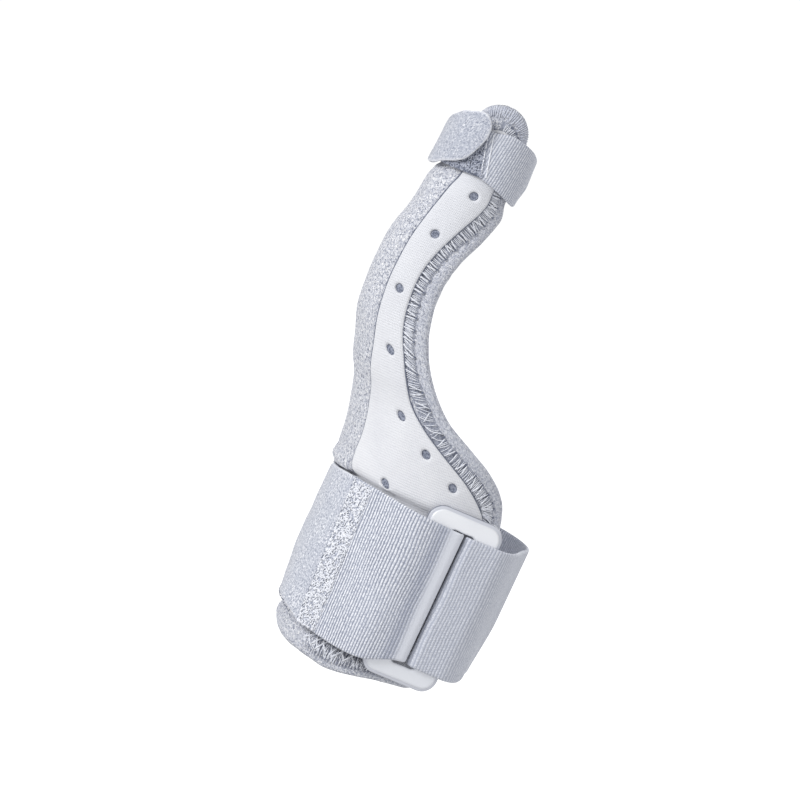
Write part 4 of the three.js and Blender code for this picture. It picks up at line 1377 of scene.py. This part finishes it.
def is_inside(point):
    """Whether a point laid out flat is inside the cover's outline."""
    x, y = point
    a, b = outline, np.roll(outline, -1, axis=0)
    crosses = (a[:, 1] > y) != (b[:, 1] > y)
    where = a[:, 0] + (y - a[:, 1]) / np.where(crosses, b[:, 1] - a[:, 1], 1) * (b[:, 0] - a[:, 0])
    return bool((crosses & (where > x)).sum() % 2)


flat, triangles = cover_mesh()
to_edge = np.linalg.norm(flat[:, None] - outline[None], axis=-1).min(1)
hole_distance = np.linalg.norm(flat[:, None] - hole_centres[None], axis=-1).min(1) - HOLE_RADIUS
to_edge[to_edge < 0.05] = 0
hole_distance = np.maximum(hole_distance, 0)
cover_angle = flat[:, 0] / flat_radius(flat[:, 1])
side_dome = dome(to_edge, 0.9)
hole_dome = dome(hole_distance, 0.8)
top = PANEL_THICK + LAYER_GAP + lerp(THIN_RIM, COVER_THICK, np.minimum(side_dome, hole_dome))
ripple = 0.10 * wave_noise(flat[:, 0], flat[:, 1], 16, 51) * smooth(to_edge, 1, 5)
ease_in = np.where(flat[:, 1] < STRAP_TOP, 0.0, 1.0)
upper_points = limb(cover_angle, flat[:, 1], top + ripple * ease_in)
lower_points = limb(cover_angle, flat[:, 1], PANEL_THICK + LAYER_GAP)
used = sorted({i for face in triangles for i in face})
order = {old: new for new, old in enumerate(used)}
edge_use = {}
faces = []
for face in triangles:
    ids = [order[i] for i in face]
    a, b, c = flat[face[0]], flat[face[1]], flat[face[2]]
    if (b[0] - a[0]) * (c[1] - a[1]) - (b[1] - a[1]) * (c[0] - a[0]) < 0:
        ids = ids[::-1]
    faces.append(ids)
    faces.append([i + len(used) for i in ids[::-1]])
    edge_use.update(dict.fromkeys(zip(ids, ids[1:] + ids[:1])))
# Walls along the edges that only one triangle has
for i, j in edge_use:
    if (j, i) not in edge_use:
        faces.append([j, i, i + len(used), j + len(used)])
points = np.concatenate([upper_points[used], lower_points[used]])
flat_map = at_height(flat[used], np.zeros(len(used)))
cover = mesh_object("cover_strip", points, faces, {"cloth": np.concatenate([flat_map, flat_map])})
finish_piece(cover, cover_cloth, "smooth_cover", "stay_cover")

# The stitched line along each side of the cover, in dark thread that also stands for the shade in the gap
# under the cover's edge: partly painted shade
lines, ways = [], []
for edge, shift in ((cover_left, -0.26), (cover_right, 0.16)):
    line = resample(laid_out(edge, cover_rows)[3:-3], 0.55)
    wobble = wave_noise(line[:, 1], line[:, 1] * 0, 3.5, 61) * 0.10
    x = line[:, 0] + shift + wobble
    angles = x / flat_radius(line[:, 1])
    lines.append(limb(angles, line[:, 1], PANEL_THICK + 0.26))
    ways.append(away(angles))
cover_lines = threads("cover_edge_stitching", lines, (0.30, 0.24), ways, 6)
finish_piece(cover_lines, dark_thread_and_shade, "smooth_cover")

# A dark net behind each breathing hole, painted shade for the hole's depth: three rings in front, and one
# behind that closes it
BACKING_SIDES = 20
BACKING_RINGS = ((1.7, 0.28), (1.2, 0.24), (0.6, 0.22), (1.7, 0.07))
points, faces = [], []
for centre in hole_centres:
    ids = (len(points) + np.arange(4)[:, None]) * BACKING_SIDES + np.arange(BACKING_SIDES)
    for radius, offset in BACKING_RINGS:
        ring = centre + radius * circle(BACKING_SIDES)
        points.append(limb(ring[:, 0] / flat_radius(ring[:, 1]), ring[:, 1], PANEL_THICK + offset))
    for here, ahead in ((0, 1), (1, 2), (3, 0)):
        faces.extend(between(ids[here], ids[ahead]))
    faces.extend([ids[2].tolist(), ids[3][::-1].tolist()])
hole_mesh = mesh_object("hole_shade_backing", np.concatenate(points), faces)
finish_piece(hole_mesh, painted_hole_shade, "knit")


# Ring
def rounded_rectangle(width, height, corner):
    """Points once round a rectangle with round corners, counter-clockwise."""
    across, up = width / 2 - corner, height / 2 - corner
    turns = np.linspace(0, np.pi / 2, 12)
    points = [(x + corner * math.cos(t + q * np.pi / 2), y + corner * math.sin(t + q * np.pi / 2))
              for q, (x, y) in enumerate([(across, up), (-across, up), (-across, -up), (across, -up)])
              for t in turns]
    return np.array(points)


# The ring's section: its distance inside the outer edge or outside the slot, and its height
# as shares of half the thickness. A low bevel runs round the front, outside a raised face.
RING_FROM_OUTSIDE = [
    (0.55, -1.0), (0.14, -0.78), (0.0, -0.4), (0.0, 0.05), (0.10, 0.30), (0.34, 0.46), (0.75, 0.54),
    (1.05, 0.58), (1.22, 0.70), (1.36, 0.88), (1.58, 0.98), (2.0, 1.0), (3.0, 1.0),
]
RING_FROM_SLOT = [
    (1.0, 1.0), (0.55, 0.98), (0.25, 0.86), (0.06, 0.62), (0.0, 0.3), (0.0, -0.4), (0.14, -0.78),
    (0.55, -1.0),
]
ring_height = slot_height + 2 * RING_END_BAR
loops = []
for inset, share in RING_FROM_OUTSIDE:
    outlined = rounded_rectangle(RING_WIDTH - 2 * inset, ring_height - 2 * inset, RING_CORNER - inset)
    loops.append((outlined, share * RING_THICK / 2, inset))
for outset, share in RING_FROM_SLOT:
    outlined = rounded_rectangle(SLOT_WIDTH + 2 * outset, slot_height + 2 * outset, SLOT_CORNER + outset)
    outlined[:, 1] -= SLOT_TIGHTER * (outlined[:, 1] > 0)
    loops.append((outlined, share * RING_THICK / 2, RING_FROM_OUTSIDE[-1][0]))
points, faces = [], []
per_loop = len(loops[0][0])
for outlined, proud, _ in loops:
    points.append(at_height(ring_point(outlined[:, :1], proud), outlined[:, 1] + ring_rise))
for index in range(len(loops)):
    here, ahead = (i % len(loops) * per_loop + np.arange(per_loop) for i in (index, index + 1))
    faces.extend(between(here, ahead))
ring_inset = np.repeat([inset for _, _, inset in loops], per_loop)
ring = mesh_object("strap_ring", np.concatenate(points), faces,
                   {"cloth": ring_inset[:, None] * (1.0, 0.0, 0.0)})
finish_piece(ring, plastic, "ring_plastic", "wrist_ring")

# Stage
SOFT_LIGHT = 0.60
BACKDROP = 1.05
world = bpy.data.worlds.new("studio")
bpy.context.scene.world = world
world.use_nodes = True
tree = world.node_tree
soft_light = tree.nodes["Background"]
seen = tree.nodes.new("ShaderNodeBackground")
for background, strength in ((soft_light, SOFT_LIGHT), (seen, BACKDROP)):
    background.inputs[0].default_value = (1, 1, 1, 1)
    background.inputs[1].default_value = strength
ray = tree.nodes.new("ShaderNodeLightPath")
either = tree.nodes.new("ShaderNodeMixShader")
tree.links.new(ray.outputs["Is Camera Ray"], either.inputs[0])
tree.links.new(soft_light.outputs[0], either.inputs[1])
tree.links.new(seen.outputs[0], either.inputs[2])
tree.links.new(either.outputs[0], tree.nodes["World Output"].inputs[0])


def area_light(name, place, target, size, power):
    """A round soft light that shines on a target. Metres and watts."""
    data = bpy.data.lights.new(name, "AREA")
    data.shape = "DISK"
    data.size = size
    data.energy = power
    lamp = bpy.data.objects.new(name, data)
    lamp.location = place
    lamp.rotation_mode = "QUATERNION"
    lamp.rotation_quaternion = (Vector(target) - Vector(place)).to_track_quat("-Z", "Y")
    bpy.context.scene.collection.objects.link(lamp)


LIT_POINT = (-0.02, -0.01, 0.06)
area_light("key_light", (-1.0, -0.75, 0.50), LIT_POINT, 0.6, 12)
area_light("fill_light", (0.7, -0.9, 0.1), LIT_POINT, 0.9, 2.4)
area_light("back_light", (0.3, 1.0, 0.5), LIT_POINT, 0.8, 8)

FLOOR_REACH = 4
FLOOR_HEIGHT = -0.30
floor_mesh = bpy.data.meshes.new("floor")
floor_corners = [(x * FLOOR_REACH, y * FLOOR_REACH, 0) for x, y in ((-1, -1), (1, -1), (1, 1), (-1, 1))]
floor_mesh.from_pydata(floor_corners, [], [(0, 1, 2, 3)])
floor = bpy.data.objects.new("floor", floor_mesh)
floor.location.z = FLOOR_HEIGHT
bpy.context.scene.collection.objects.link(floor)
floor_surface = Surface("pale_floor", 0.9, specular=0.1)
floor_surface.shader.inputs["Base Color"].default_value = (0.93, 0.93, 0.94, 1)
floor_surface.shader.inputs["Emission Color"].default_value = (1, 1, 1, 1)
floor_surface.shader.inputs["Emission Strength"].default_value = 0.7
floor_mesh.materials.append(floor_surface.material)
floor.visible_diffuse = False

# Camera
ROLL = math.radians(25)
TILT = math.radians(6.3)
DISTANCE = 2.6
PX_PER_MM = 2.94
PICTURE_SIZE = 800
ORIGIN_PIXEL = (402, 575)
SENSOR = 36
# The front of the splint is nearer to the camera than the origin by this much
FRONT_DEPTH = 0.02
across_px, up_px = PICTURE_SIZE / 2 - ORIGIN_PIXEL[0], ORIGIN_PIXEL[1] - PICTURE_SIZE / 2
aim_x = (math.cos(ROLL) * across_px - math.sin(ROLL) * up_px) / PX_PER_MM * MM
aim_w = (math.sin(ROLL) * across_px + math.cos(ROLL) * up_px) / PX_PER_MM * MM
back = Vector((0, -math.cos(TILT), math.sin(TILT)))
rise_way = Vector((0, math.sin(TILT), math.cos(TILT)))
side_way = Vector((1, 0, 0))
aim = side_way * aim_x + rise_way * aim_w
camera_data = bpy.data.cameras.new("camera")
camera_data.sensor_width = SENSOR
camera_data.lens = SENSOR * (DISTANCE - FRONT_DEPTH) / (PICTURE_SIZE / PX_PER_MM * MM)
camera = bpy.data.objects.new("camera", camera_data)
up_way = rise_way * math.cos(ROLL) - side_way * math.sin(ROLL)
right_way = side_way * math.cos(ROLL) + rise_way * math.sin(ROLL)
turn = Matrix((right_way, up_way, back)).transposed()
camera.matrix_world = Matrix.Translation(aim + back * DISTANCE) @ turn.to_4x4()
bpy.context.scene.collection.objects.link(camera)
bpy.context.scene.camera = camera
bpy.context.scene.view_settings.view_transform = "Standard"

bpy.context.view_layer.update()
